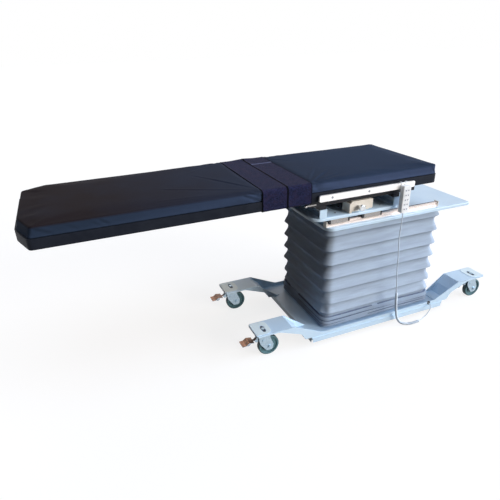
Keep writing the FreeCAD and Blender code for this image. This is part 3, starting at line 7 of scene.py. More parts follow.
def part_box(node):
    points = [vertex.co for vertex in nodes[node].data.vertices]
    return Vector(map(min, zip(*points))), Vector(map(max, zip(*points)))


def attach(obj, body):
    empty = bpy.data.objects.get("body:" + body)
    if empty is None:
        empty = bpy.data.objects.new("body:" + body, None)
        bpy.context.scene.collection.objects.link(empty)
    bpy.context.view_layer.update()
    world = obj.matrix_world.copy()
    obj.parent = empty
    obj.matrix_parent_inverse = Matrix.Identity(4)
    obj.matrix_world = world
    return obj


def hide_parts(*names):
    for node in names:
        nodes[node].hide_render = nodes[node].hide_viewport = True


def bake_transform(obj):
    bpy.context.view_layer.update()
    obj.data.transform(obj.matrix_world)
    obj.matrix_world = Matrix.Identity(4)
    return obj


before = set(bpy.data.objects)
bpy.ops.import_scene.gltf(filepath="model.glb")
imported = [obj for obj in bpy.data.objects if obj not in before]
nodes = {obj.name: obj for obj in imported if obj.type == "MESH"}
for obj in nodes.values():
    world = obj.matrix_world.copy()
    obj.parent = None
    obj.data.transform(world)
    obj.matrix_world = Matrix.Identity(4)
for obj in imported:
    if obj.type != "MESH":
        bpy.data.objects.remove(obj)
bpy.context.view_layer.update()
columnAt = Vector((0.48575, 0.01495, 0))  # the lift column's axis on the floor, from the table's origin
along, across, up = Vector((1, 0, 0)), Vector((0, 1, 0)), Vector((0, 0, 1))
corners = {"near_left": (-1, -1), "far_left": (-1, 1), "near_right": (1, -1), "far_right": (1, 1)}
hair = 0.001  # a point nearer than this to a limit counts as on it
print("frame loaded,", len(nodes), "nodes")


# colours and nodes

def toLinear(hexColour):
    channels = [int(hexColour[i:i + 2], 16) / 255 for i in (0, 2, 4)]
    return [c / 12.92 if c <= 0.04045 else ((c + 0.055) / 1.055) ** 2.4 for c in channels] + [1]


def perMetre(millimetres):
    return 1000 / millimetres  # the scale that makes one cell of a pattern this wide


def addNode(tree, kind, inputs=None, **settings):
    node = tree.nodes.new("ShaderNode" + kind)
    for name, value in settings.items():
        setattr(node, name, value)
    for name, value in (inputs or {}).items():
        if isinstance(value, bpy.types.NodeSocket):
            tree.links.new(value, node.inputs[name])
        else:
            node.inputs[name].default_value = value
    return node


def newMaterial(name, **fixed):
    # a principled shader with its constants on its own sockets
    material = bpy.data.materials.new(name)
    material.use_nodes = True
    tree = material.node_tree
    tree.nodes.clear()
    shader = addNode(tree, "BsdfPrincipled")
    for socket, value in fixed.items():
        shader.inputs[socket.replace("_", " ")].default_value = value
    addNode(tree, "OutputMaterial", {"Surface": shader.outputs["BSDF"]})
    place = addNode(tree, "TexCoord").outputs["Object"]
    return material, tree, shader, place


def connect(tree, shader, colour, bump):
    tree.links.new(colour.outputs[2], shader.inputs["Base Color"])
    tree.links.new(bump.outputs["Normal"], shader.inputs["Normal"])


# materials, each named for what it is and how it was made, or for the light or shade painted into it

def mottledSurface(name, colours, cloud, grain, depth, **fixed):
    # two close colours in soft clouds over a fine relief: cloud and grain are widths in millimetres
    material, tree, shader, place = newMaterial(name, **fixed)
    clouds = addNode(tree, "TexNoise", {"Vector": place, "Scale": perMetre(cloud), "Detail": 4})
    share = addNode(tree, "MapRange", {"Value": clouds.outputs["Fac"], "From Min": 0.35, "From Max": 0.72})
    colour = addNode(tree, "Mix", {
        0: share.outputs["Result"], 6: toLinear(colours[0]), 7: toLinear(colours[1])}, data_type="RGBA")
    relief = addNode(tree, "TexNoise", {"Vector": place, "Scale": perMetre(grain), "Detail": 2})
    bump = addNode(tree, "Bump", {"Height": relief.outputs["Fac"], "Distance": depth, "Strength": 0.5})
    connect(tree, shader, colour, bump)
    return material


def linedMetal(name, colours, stretch, width, **fixed):
    # ground or drawn along one way: fine lines in both colour and gloss
    material, tree, shader, place = newMaterial(name, **fixed)
    stretched = addNode(tree, "Mapping", {"Vector": place, "Scale": stretch})
    lines = addNode(tree, "TexNoise", {
        "Vector": stretched.outputs["Vector"], "Scale": perMetre(width), "Detail": 2})
    colour = addNode(tree, "Mix", {
        0: lines.outputs["Fac"], 6: toLinear(colours[0]), 7: toLinear(colours[1])}, data_type="RGBA")
    gloss = addNode(tree, "MapRange", {
        "Value": lines.outputs["Fac"], "From Min": 0.3, "From Max": 0.7,
        "To Min": fixed["Roughness"] * 0.8, "To Max": fixed["Roughness"] * 1.25})
    tree.links.new(colour.outputs[2], shader.inputs["Base Color"])
    tree.links.new(gloss.outputs["Result"], shader.inputs["Roughness"])
    return material


def coatedBellowsCloth():
    # polyurethane coated polyester: a matt skin with the weave just showing through, darker in soft streaks
    # along the folds
    material, tree, shader, place = newMaterial(
        "coated_polyester_folded", Roughness=0.8, Specular_IOR_Level=0.1)
    level = addNode(tree, "Mapping", {"Vector": place, "Scale": (0.25, 0.25, 2.2)})
    streaks = addNode(tree, "TexNoise", {
        "Vector": level.outputs["Vector"], "Scale": perMetre(60), "Detail": 5, "Roughness": 0.6})
    share = addNode(tree, "MapRange", {"Value": streaks.outputs["Fac"], "From Min": 0.35, "From Max": 0.7})
    colour = addNode(tree, "Mix", {
        0: share.outputs["Result"], 6: toLinear("AFC0D2"), 7: toLinear("9DABBE")}, data_type="RGBA")
    weave = addNode(tree, "TexWave", {
        "Vector": place, "Scale": perMetre(3.5), "Distortion": 1.5, "Detail": 1})
    bump = addNode(tree, "Bump", {"Height": weave.outputs["Fac"], "Distance": 0.0001, "Strength": 0.25})
    connect(tree, shader, colour, bump)
    return material


def upholsteryCloth():
    # nylon knit coated with polyurethane: near black navy, matt from handling; a painted reflection turns it
    # brown towards the head end, and painted light makes the side bands a little lighter and bluer than the
    # top
    material, tree, shader, place = newMaterial(
        "coated_nylon_upholstery", Roughness=0.55, Specular_IOR_Level=0.01)
    parts = addNode(tree, "SeparateXYZ", {"Vector": place})
    # painted reflection: from brown at the head end to navy at the foot
    fade = addNode(tree, "MapRange", {"Value": parts.outputs["X"], "From Min": -1.1, "From Max": 0.35})
    clouds = addNode(tree, "TexNoise", {"Vector": place, "Scale": perMetre(190), "Detail": 3})
    uneven = addNode(tree, "Math", {0: clouds.outputs["Fac"], 1: 0.35, 2: -0.17}, operation="MULTIPLY_ADD")
    share = addNode(tree, "Math", {
        0: fade.outputs["Result"], 1: uneven.outputs[0]}, operation="ADD", use_clamp=True)
    colour = addNode(tree, "Mix", {
        0: share.outputs[0], 6: toLinear("221D20"), 7: toLinear("2A374C")}, data_type="RGBA")
    # painted light: below the top's edge the side bands are lighter and bluer
    band = addNode(tree, "MapRange", {"Value": parts.outputs["Z"], "From Min": 0.969, "From Max": 0.978})
    side = addNode(tree, "Mix", {
        0: share.outputs[0], 6: toLinear("283344"), 7: toLinear("3E4B66")}, data_type="RGBA")
    colour = addNode(tree, "Mix", {
        0: band.outputs["Result"], 6: side.outputs[2], 7: colour.outputs[2]}, data_type="RGBA")
    grain = addNode(tree, "TexVoronoi", {"Vector": place, "Scale": perMetre(1.8)}, feature="DISTANCE_TO_EDGE")
    bump = addNode(tree, "Bump", {"Height": grain.outputs["Distance"], "Distance": 0.0002, "Strength": 0.2})
    connect(tree, shader, colour, bump)
    return material


def strapLoopPile():
    # brushed nylon loop fastener: a nap of fine loops that catches blue and violet light
    material, tree, shader, place = newMaterial(
        "nylon_loop_pile", Roughness=0.95, Specular_IOR_Level=0.02, Sheen_Weight=0.04, Sheen_Roughness=0.6)
    loops = addNode(tree, "TexNoise", {"Vector": place, "Scale": perMetre(5), "Detail": 4, "Roughness": 0.7})
    fleck = addNode(tree, "MapRange", {"Value": loops.outputs["Fac"], "From Min": 0.4, "From Max": 0.66})
    ground = addNode(tree, "Mix", {
        0: fleck.outputs["Result"], 6: toLinear("131527"), 7: toLinear("2B3154")}, data_type="RGBA")
    patches = addNode(tree, "TexNoise", {
        "Vector": place, "Scale": perMetre(30), "Detail": 4, "Roughness": 0.65})
    tint = addNode(tree, "MapRange", {
        "Value": patches.outputs["Fac"], "From Min": 0.42, "From Max": 0.68, "To Max": 0.75})
    colour = addNode(tree, "Mix", {
        0: tint.outputs["Result"], 6: ground.outputs[2], 7: toLinear("2E2840")}, data_type="RGBA")
    bump = addNode(tree, "Bump", {"Height": loops.outputs["Fac"], "Distance": 0.0015, "Strength": 0.8})
    connect(tree, shader, colour, bump)
    return material


# sprayed powder, baked: an even satin colour with a faint orange peel, and painted light that makes the
# doubler sheets' tops lighter
paint = mottledSurface("powder_coated_pan", ("CCE4F6", "C3DDF2"), 160, 2.4, 0.00006, Roughness=0.42)
deckPaint = mottledSurface("powder_coated_deck", ("CEE5F6", "C6DFF3"), 150, 2.4, 0.00006, Roughness=0.4)
litDoublerPaint = mottledSurface("powder_coated_doubler_painted_light", ("E6F6FB", "DDF1F8"), 90, 2.4, 0.00006, Roughness=0.4)
blackPaint = mottledSurface("powder_coated_frame", ("202127", "191A1F"), 120, 2.0, 0.00006,
                            Roughness=0.5, Specular_IOR_Level=0.2)
# brushed enamel on the hidden machinery: flat greys with a slight ripple
casePaint = mottledSurface("enamelled_control_case", ("8E959C", "858C93"), 90, 2.0, 0.00005, Roughness=0.45)
motorPaint = mottledSurface("enamelled_motor", ("3C4046", "34383D"), 60, 2.0, 0.00005, Roughness=0.45)
tubePaint = mottledSurface("painted_column_tube", ("A6ABB1", "9BA1A8"), 140, 2.0, 0.00005, Roughness=0.4)
# zinc plated and passivated pressings: pale, cloudy, semi gloss
zinc = mottledSurface("zinc_plated_pressing", ("B6C9D6", "9CB2C2"), 9, 1.5, 0.00004,
                      Roughness=0.34, Metallic=0.75)
# chrome pedals with painted reflections: brown and grey patches of a floor's reflection on the treads, paler
# and cloudy on the steeper faces below them
treadReflectionChrome = mottledSurface("chrome_tread_painted_reflection", ("96705A", "4C4340"), 13, 4, 0.00003,
                             Roughness=0.2, Metallic=0.85)
sideReflectionChrome = mottledSurface("chrome_pedal_sides_painted_reflection", ("B9C3CE", "8A96A4"), 10, 4, 0.00003,
                              Roughness=0.22, Metallic=0.8)
# polished plate: a mirror with the faintest wipe marks
knobChrome = mottledSurface("chromed_turned_knob", ("E6E8EA", "CDD2D8"), 8, 4, 0.00002,
                            Roughness=0.12, Metallic=1.0)
# ground bars and machined blocks: fine lines along or across their length
stainless = linedMetal("brushed_stainless_bar", ("F1EFEC", "FAF9F8"), (0.02, 1, 1), 0.8,
                       Roughness=0.36, Metallic=0.55)
# the peach in the rail's lines is a painted warm reflection
railSteel = linedMetal("ground_rail_steel", ("F0DCCF", "F3EDEA"), (0.1, 1, 1), 1.0,
                       Roughness=0.3, Metallic=0.35)
blockSteel = linedMetal("machined_block_steel", ("A9A6A3", "94918F"), (1, 0.1, 0.1), 1.0,
                        Roughness=0.32, Metallic=0.8)
# moulded rubber: matt, scuffed grey green walls and a darker tread
rubber = mottledSurface("moulded_tyre_rubber", ("557A82", "42626B"), 9, 1.2, 0.0001, Roughness=0.6)
treadRubber = mottledSurface("darker_tread_rubber", ("2C4046", "3E5558"), 6, 1.2, 0.00015, Roughness=0.65)
# injection mouldings: a fine spark eroded grain breaks up the shine, and the ink of the marks lies flat on it
creamPlastic = mottledSurface("moulded_cream_abs", ("E9E2D6", "E0D8CA"), 35, 0.9, 0.00005, Roughness=0.5)
whitePlastic = mottledSurface("moulded_off_white_abs", ("F5F7F8", "ECEFF2"), 35, 0.9, 0.00005, Roughness=0.5)
keyRubber = mottledSurface("moulded_keypad_silicone", ("F0F2F4", "E6E9ED"), 20, 0.9, 0.00005, Roughness=0.6)
markInk = mottledSurface("pad_printed_marks", ("7A8294", "656E82"), 4, 0.6, 0.00001, Roughness=0.6)
blackPlastic = mottledSurface("moulded_black_nylon", ("15161A", "1E1F24"), 25, 0.9, 0.00005, Roughness=0.45)
stopPlastic = mottledSurface("moulded_white_nylon", ("EDEBE4", "E2E0D8"), 25, 0.9, 0.00005, Roughness=0.45)
# extruded cord jacket: smooth and slightly uneven, so that its shine wavers along the turns
jacket = mottledSurface("extruded_pvc_jacket", ("DEE9F3", "CAD9E8"), 30, 3, 0.00002, Roughness=0.42)
# black laminated edge of the foam core panel: smooth and slightly dusty
laminate = mottledSurface("black_laminate", ("1A1E27", "22262F"), 45, 3, 0.00008,
                          Roughness=0.55, Specular_IOR_Level=0.08)
# sewn strap edges: dead black woven tape, and a paler line at the hem, a painted highlight where its edge
# catches the light
edgeTape = mottledSurface("woven_edge_tape", ("07080C", "0E0F16"), 8, 1.0, 0.0002,
                          Roughness=0.9, Specular_IOR_Level=0.05)
hemHighlight = mottledSurface("painted_hem_highlight", ("3B4567", "2E3656"), 6, 1.0, 0.0003, Roughness=0.8)
# small turned heads: dull steel, blotched with handling or grease; the dark steel also stands as painted
# shade on the rails and in the caster slots
screwSteel = mottledSurface("stainless_screw_heads", ("8E939B", "777D87"), 5, 1, 0.00003,
                            Roughness=0.45, Metallic=0.3)
darkSteelAndShade = mottledSurface("dark_steel_and_painted_shade", ("3C4552", "2C3440"), 6, 1, 0.00005, Roughness=0.6)
bellowsCloth = coatedBellowsCloth()
# the crushed folds' creases get painted shade, which draws each as a dark line
creaseShadeCloth = mottledSurface("painted_crease_shade", ("66728A", "7A8699"), 40, 1.0, 0.0001,
                             Roughness=0.85, Specular_IOR_Level=0.05)
vinyl = upholsteryCloth()
pile = strapLoopPile()

nodeFinishes = {
    paint: ["base_pan", "side_cheeks", "caster_arms"],
    deckPaint: ["platform", "cross_beams"],
    blackPaint: ["frame_risers", "support_frame"],
    stainless: ["accessory_rail_near", "accessory_rail_far", "rail_spacers"],
    screwSteel: ["rail_screws"],
    zinc: ["caster_plates", "caster_kingpins", "column_foot", "clamp_bottom", "clamp_top"]
          + ["fork_" + corner for corner in corners],
    treadReflectionChrome: ["pedal_" + corner for corner in corners],
    knobChrome: ["lock_knob"],
    railSteel: ["float_rails"],
    blockSteel: ["bearing_blocks"],
    blackPlastic: ["block_wipers", "cable_gland"],
    stopPlastic: ["rail_stops", "glide_ring_outer", "glide_ring_middle"],
    creamPlastic: ["lock_box"],
    whitePlastic: ["handset_hook", "handset_rear_shell", "handset_front_shell"],
    keyRubber: ["handset_key_%d" % number for number in range(1, 6)],
    casePaint: ["control_box"],
    motorPaint: ["lift_motor"],
    tubePaint: ["column_outer", "column_middle", "column_inner"],
}
for material, names in nodeFinishes.items():
    for name in names:
        nodes[name].data.materials.clear()
        nodes[name].data.materials.append(material)


def finishByFace(names, material, test):
    # a second finish on some faces of a piece
    for name in names:
        mesh = nodes[name].data
        mesh.materials.append(material)
        for face in mesh.polygons:
            if test(face):
                face.material_index = 1


doublerLevel, treadSlope = 0.1735, 0.25  # just below the doublers' tops; faces steeper than this aren't tread
# painted reflection: the pedals' steeper faces get the paler chrome, the treads keep the brown
finishByFace(nodeFinishes[treadReflectionChrome], sideReflectionChrome, lambda face: face.normal.z < treadSlope)
# painted light: the doublers' upward faces get the lighter paint
finishByFace(["caster_arms"], litDoublerPaint, lambda face: face.center.z > doublerLevel and face.normal.z > 0.9)
print("materials made")


# modelling helpers

def deselectAll():
    if bpy.context.mode != "OBJECT":
        bpy.ops.object.mode_set(mode="OBJECT")
    bpy.ops.object.select_all(action="DESELECT")


def choose(piece):
    deselectAll()
    piece.select_set(True)
    bpy.context.view_layer.objects.active = piece


def newBox(low, high):
    deselectAll()
    bpy.ops.mesh.primitive_cube_add(size=1, location=(low + high) / 2)
    bpy.context.object.scale = [abs(length) for length in high - low]
    return bpy.context.object


def newCylinder(sides, radius, depth, place, turn=(0, 0, 0)):
    deselectAll()
    bpy.ops.mesh.primitive_cylinder_add(
        vertices=sides, radius=radius, depth=depth, location=place, rotation=turn)
    return bpy.context.object


def thicken(piece, sheet, offset):
    choose(piece)
    wall = piece.modifiers.new("wall", "SOLIDIFY")
    wall.thickness = sheet
    wall.offset = offset
    bpy.ops.object.modifier_apply(modifier=wall.name)


def beginEdit(piece):
    # place, turn and size go into the mesh first, so that edit mode works in the table's own coordinates
    choose(piece)
    bpy.ops.object.transform_apply(location=True, rotation=True, scale=True)
    bpy.ops.object.mode_set(mode="EDIT")
    selectAll()


def endEdit():
    bpy.ops.object.mode_set(mode="OBJECT")


def selectAll():
    bpy.ops.mesh.select_all(action="SELECT")


def pick(piece, kind, test):
    bpy.ops.mesh.select_mode(type=kind)
    bpy.ops.mesh.select_all(action="DESELECT")
    shape = bmesh.from_edit_mesh(piece.data)
    for item in {"VERT": shape.verts, "EDGE": shape.edges, "FACE": shape.faces}[kind]:
        if test(item):
            item.select_set(True)
    shape.select_flush_mode()
    bmesh.update_edit_mesh(piece.data)


def middleOf(item):
    return sum((vertex.co for vertex in item.verts), Vector()) / len(item.verts)


def runsAlong(edge, direction):
    return abs((edge.verts[1].co - edge.verts[0].co).normalized().dot(direction)) > 0.9


def cutAcross(direction, places):
    for place in places:
        selectAll()
        bpy.ops.mesh.bisect(plane_co=direction * place, plane_no=direction)


def roundEdges(radius, cuts):
    bpy.ops.mesh.bevel(offset=radius, segments=cuts, affect="EDGES")


def steps(low, high, pitch):
    count = max(2, round((high - low) / pitch))
    return [low + (high - low) * i / count for i in range(1, count)]


def dress(piece, name, material, body, replaced=(), angle=40):
    piece.name = name
    piece.data.name = name
    piece.data.materials.clear()
    piece.data.materials.append(material)
    choose(piece)
    bpy.ops.object.transform_apply(location=True, rotation=True, scale=True)
    bpy.ops.object.shade_smooth_by_angle(angle=math.radians(angle))
    if body:
        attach(piece, body)
    if replaced:
        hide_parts(*replaced)


def easing(value, low, high):
    share = min(1, max(0, (value - low) / (high - low)))
    return share * share * (3 - 2 * share)


def noiseAt(spot, scale, shift=0):
    return noise.noise(Vector((spot.x * scale[0] + shift, spot.y * scale[1], spot.z * scale[2])))


def makeBlock(name, start, end, material, body, slot):
    # a plain block between two points, given from the column's axis
    dress(newBox(Vector(start) + columnAt, Vector(end) + columnAt), name, material, body)


# camera and cords

cameraSet = {"place": Vector((-1.5804, -2.1295, 1.6301)), "turn": -21.98, "tilt": 25.456, "roll": -1.4725,
             "lens": 32.07, "sensor": 36}


def makeCamera():
    data = bpy.data.cameras.new("camera")
    data.lens = cameraSet["lens"]
    data.sensor_width = cameraSet["sensor"]
    camera = bpy.data.objects.new("camera", data)
    bpy.context.collection.objects.link(camera)
    turn, tilt, roll = (math.radians(cameraSet[key]) for key in ("turn", "tilt", "roll"))
    camera.matrix_world = (Matrix.Translation(cameraSet["place"] + columnAt) @ Matrix.Rotation(turn, 4, "Z")
                           @ Matrix.Rotation(math.pi / 2 - tilt, 4, "X") @ Matrix.Rotation(roll, 4, "Z"))
    bpy.context.scene.camera = camera


cordSet = {
    "diameter": 0.0055, "coilDiameter": 0.016, "turnPitch": 0.0058, "turnPoints": 12, "sides": 4,
    # the hanging lead from the handset down to the curly part, from the column's axis
    "lead": [(0.043, -0.3424, 0.756), (0.044, -0.3434, 0.700), (0.037, -0.3454, 0.632),
             (0.040, -0.3464, 0.560), (0.049, -0.3464, 0.480), (0.052, -0.3454, 0.400),
             (0.063, -0.3444, 0.320), (0.073, -0.3434, 0.244)],
    "joinAt": 0.470, "joinGap": 0.005,  # the lead is two pieces, which meet at this height
    "coil": [(0.073, -0.3434, 0.2436), (0.080, -0.3424, 0.176), (0.088, -0.3434, 0.116),
             (0.097, -0.3464, 0.062), (0.119, -0.3564, 0.020), (0.165, -0.3724, 0.0086),
             (0.213, -0.3784, 0.0086), (0.257, -0.3734, 0.0086)],
    "tail": [(0.257, -0.3734, 0.0086), (0.281, -0.3683, 0.0086), (0.309, -0.3634, 0.020),
             (0.333, -0.362, 0.040), (0.354, -0.356, 0.062), (0.368, -0.344, 0.076), (0.370, -0.320, 0.076)],
    "startRise": 0.008, "followDown": 0.1,  # where the cord's parts begin and end
}


def cordLine(name, points, resolution=8):
    curve = bpy.data.curves.new(name, "CURVE")
    curve.dimensions = "3D"
    spline = curve.splines.new("NURBS")
    spline.points.add(len(points) - 1)
    for slot, point in zip(spline.points, points):
        slot.co = (*point, 1)
    spline.order_u = 3
    spline.use_endpoint_u = True
    spline.resolution_u = resolution
    line = bpy.data.objects.new(name, curve)
    bpy.context.collection.objects.link(line)
    return line


def readLine(line):
    mesh = bpy.data.meshes.new_from_object(line)
    points = [vertex.co.copy() for vertex in mesh.vertices]
    bpy.data.meshes.remove(mesh)
    return points


def lengthOf(points):
    return sum((b - a).length for a, b in zip(points, points[1:]))


def pointsOf(route):
    return [Vector(point) + columnAt for point in route]


def helixAlong(points, radius, pitch, perTurn):
    # turns of a curly cord round a line, with the start direction carried along so that they don't twist
    total = lengthOf(points)
    count = round(total / pitch * perTurn)
    turns, side, walked, index = [], None, 0.0, 0
    for step in range(count + 1):
        target = total * step / count
        while index < len(points) - 2 and walked + (points[index + 1] - points[index]).length < target:
            walked += (points[index + 1] - points[index]).length
            index += 1
        way = points[index + 1] - points[index]
        centre = points[index] + way.normalized() * (target - walked)
        way.normalize()
        side = across if side is None else side
        side = (side - way * side.dot(way)).normalized()
        angle = 2 * math.pi * step / perTurn
        ease = min(1, step / perTurn, (count - step) / perTurn)  # the first and last turns leave the line
        turns.append(centre + (side * math.cos(angle) + way.cross(side) * math.sin(angle)) * radius * ease)
    return turns


def cordTube(name, points, resolution):
    # the tube and the line that it follows
    line = cordLine(name, points, resolution)
    followed = readLine(line)
    line.data.bevel_depth = cordSet["diameter"] / 2
    line.data.bevel_resolution = cordSet["sides"]
    line.data.use_fill_caps = True
    choose(line)
    bpy.ops.object.convert(target="MESH")
    return line, followed


def splitLead():
    points = pointsOf(cordSet["lead"])
    line = cordLine("lead_line", points, 16)
    followed = readLine(line)
    bpy.data.objects.remove(line)
    join = min(followed, key=lambda point: abs(point.z - cordSet["joinAt"]))
    upper = [point for point in points if point.z > join.z + cordSet["joinGap"]]
    lower = [point for point in points if point.z < join.z - cordSet["joinGap"]]
    return upper + [join], [join] + lower


def makeCords():
    upper, lower = splitLead()
    lead, followed = cordTube("handset_lead", upper, 10)
    dress(lead, "handset_lead", jacket, None, ["cord_upper"], 60)
    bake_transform(lead)
    core = cordLine("coil_line", pointsOf(cordSet["coil"]), 16)
    inner = (cordSet["coilDiameter"] - cordSet["diameter"]) / 2
    turns = helixAlong(readLine(core), inner, cordSet["turnPitch"], cordSet["turnPoints"])
    bpy.data.objects.remove(core)
    tail = pointsOf(cordSet["tail"])
    curly, followed = cordTube("curly_cord", lower[:-1] + turns + tail[1:], 2)
    dress(curly, "curly_cord", jacket, None, ["cord_coil", "cord_tail"], 60)
    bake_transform(curly)
    print("cords:", round(lengthOf(followed), 3), "m of curly cord")


makeCamera()
makeCords()


# bellows

bellowsSet = {
    "crests": [0.164, 0.229, 0.315, 0.397, 0.480, 0.566, 0.659],  # heights of the open folds' ridges
    "creases": [0.080, 0.0885, 0.0995, 0.107, 0.119, 0.1285, 0.137],  # heights of the crushed folds' creases
    # share of the way up to the next crease or ridge, and how far the cloth draws in: metres for the crushed
    # folds, shares of the depth for the open ones
    "lip": [(0, 0.019), (0.2, 0.015), (0.34, 0.004), (0.54, 0), (0.74, 0.004), (0.88, 0.014)],
    "sag": [(0.04, 0.07), (0.12, 0.22), (0.25, 0.48), (0.4, 0.77), (0.55, 0.95), (0.68, 1.0), (0.8, 0.9),
            (0.9, 0.6), (0.96, 0.27)],
    "deep": 0.018, "topShare": 0.9,
    # rings between the last crease and the first ridge: height from the one or the other, and inset
    "aboveStack": [(0, 0.014), (0.012, 0.010)], "belowRidge": (-0.006, 0.003),
    "cornerRound": 0.05, "cornerCuts": 9, "pitch": 0.016,
    # where the crease faces get painted shade, and where that shade breaks off
    "creaseShadeReach": 0.0017, "creaseShadeGaps": -0.3, "creaseShadeScale": (4, 4, 60),
    # bands of height: held at the clamps, crushed, and tucked at the corners
    "heldLow": 0.012, "heldHigh": 0.02, "crushed": (0.13, 0.2), "tucked": (0.125, 0.15, 0.235, 0.30),
    "waver": 0.0018, "waverScale": (5, 5, 14),
    "creaseWaver": 0.004, "stackWaver": 0.0045, "liftScale": (3.1, 3.1, 9), "liftShift": 7, "stackScale": 30,
    "crumple": 0.011, "crumpleFrom": 0.03, "crumpleReach": 0.12, "tuckScale": (22, 22, 34), "tuckShift": 3,
    "tuckIn": 0.3, "tuckLift": 0.4,
}


def bellowsRings(low, high):
    # heights and insets of the rings from the bottom clamp up to the platform
    crests, creases, deep = bellowsSet["crests"], bellowsSet["creases"], bellowsSet["deep"]
    rings = []
    for lower, upper in zip([low] + creases, creases):
        rings += [(lower + (upper - lower) * share, drawn) for share, drawn in bellowsSet["lip"]]
    rings += [(creases[-1] + rise, drawn) for rise, drawn in bellowsSet["aboveStack"]]
    rise, drawn = bellowsSet["belowRidge"]
    rings.append((crests[0] + rise, drawn))
    for lower, upper in zip(crests, crests[1:] + [2 * high - crests[-1]]):
        rings.append((lower, 0))
        for share, drawn in bellowsSet["sag"]:
            if lower + (upper - lower) * share < high - hair:
                rings.append((lower + (upper - lower) * share, drawn * deep))
    rings.append((high, deep * bellowsSet["topShare"]))
    return rings


def crumpled(piece, low, high):
    # slow unevenness everywhere, more of it in the crushed folds, and tucks at the lower corners
    centre = (low + high) / 2
    tuckStart, tuckFull, tuckEase, tuckEnd = bellowsSet["tucked"]
    scaleX, scaleY, scaleZ = bellowsSet["liftScale"]
    for vertex in piece.data.vertices:
        spot = vertex.co
        held = min(easing(spot.z, low.z, low.z + bellowsSet["heldLow"]),
                   1 - easing(spot.z, high.z - bellowsSet["heldHigh"], high.z))
        crush = 1 - easing(spot.z, *bellowsSet["crushed"])
        outward = Vector((spot.x - centre.x, spot.y - centre.y, 0)).normalized()
        slow = noiseAt(spot, bellowsSet["waverScale"])
        liftScale = (scaleX, scaleY, scaleZ + bellowsSet["stackScale"] * crush)
        lift = noiseAt(spot, liftScale, bellowsSet["liftShift"])
        spot += outward * slow * bellowsSet["waver"] * held
        spot.z += lift * (bellowsSet["creaseWaver"] + bellowsSet["stackWaver"] * crush) * held
        corner = Vector((low.x if spot.x < centre.x else high.x, low.y if spot.y < centre.y else high.y))
        near = 1 - easing((spot.xy - corner).length, bellowsSet["crumpleFrom"], bellowsSet["crumpleReach"])
        band = easing(spot.z, tuckStart, tuckFull) * (1 - easing(spot.z, tuckEase, tuckEnd))
        tuck = noiseAt(spot, bellowsSet["tuckScale"], bellowsSet["tuckShift"])
        push = outward * (tuck - bellowsSet["tuckIn"]) + up * tuck * bellowsSet["tuckLift"]
        spot += push * bellowsSet["crumple"] * near * band * held


def makeBellows():
    low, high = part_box("bellows")
    centre = (low + high) / 2
    halfX, halfY = (high.x - low.x) / 2, (high.y - low.y) / 2
    rings = bellowsRings(low.z, high.z)
    deselectAll()
    bpy.ops.mesh.primitive_plane_add(size=2, location=(centre.x, centre.y, rings[0][0]))
    piece = bpy.context.object
    piece.scale = (halfX, halfY, 1)
    beginEdit(piece)
    bpy.ops.mesh.bevel(offset=bellowsSet["cornerRound"], segments=bellowsSet["cornerCuts"],
                       affect="VERTICES")
    bpy.ops.mesh.delete(type="ONLY_FACE")
    for direction, half in ((along, halfX), (across, halfY)):
        pick(piece, "EDGE", lambda edge: edge.calc_length() > half and runsAlong(edge, direction))
        bpy.ops.mesh.subdivide(number_cuts=round(2 * half / bellowsSet["pitch"]))
    selectAll()
    height, inset = rings[0][0], 0
    for index, (ringHeight, ringInset) in enumerate(rings):
        if index:
            bpy.ops.mesh.extrude_region_move(TRANSFORM_OT_translate={"value": (0, 0, ringHeight - height)})
        grow = ((halfX - ringInset) / (halfX - inset), (halfY - ringInset) / (halfY - inset), 1)
        bpy.ops.transform.resize(value=grow, center_override=(centre.x, centre.y, ringHeight))
        height, inset = ringHeight, ringInset
    selectAll()
    bpy.ops.mesh.normals_make_consistent(inside=False)
    endEdit()
    # faces along the creases, for the painted crease shade
    shadedCreases = [face.index for face in piece.data.polygons if any(
        abs(face.center.z - crease) < bellowsSet["creaseShadeReach"] for crease in bellowsSet["creases"])]
    crumpled(piece, low, high)
    dress(piece, "bellows_cover", bellowsCloth, None, ["bellows"], 50)
    piece.data.materials.append(creaseShadeCloth)
    for index in shadedCreases:
        face = piece.data.polygons[index]
        if noiseAt(face.center, bellowsSet["creaseShadeScale"]) > bellowsSet["creaseShadeGaps"]:
            face.material_index = 1
    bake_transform(piece)
    print("bellows:", len(rings), "rings")


makeBellows()


# mattress and straps

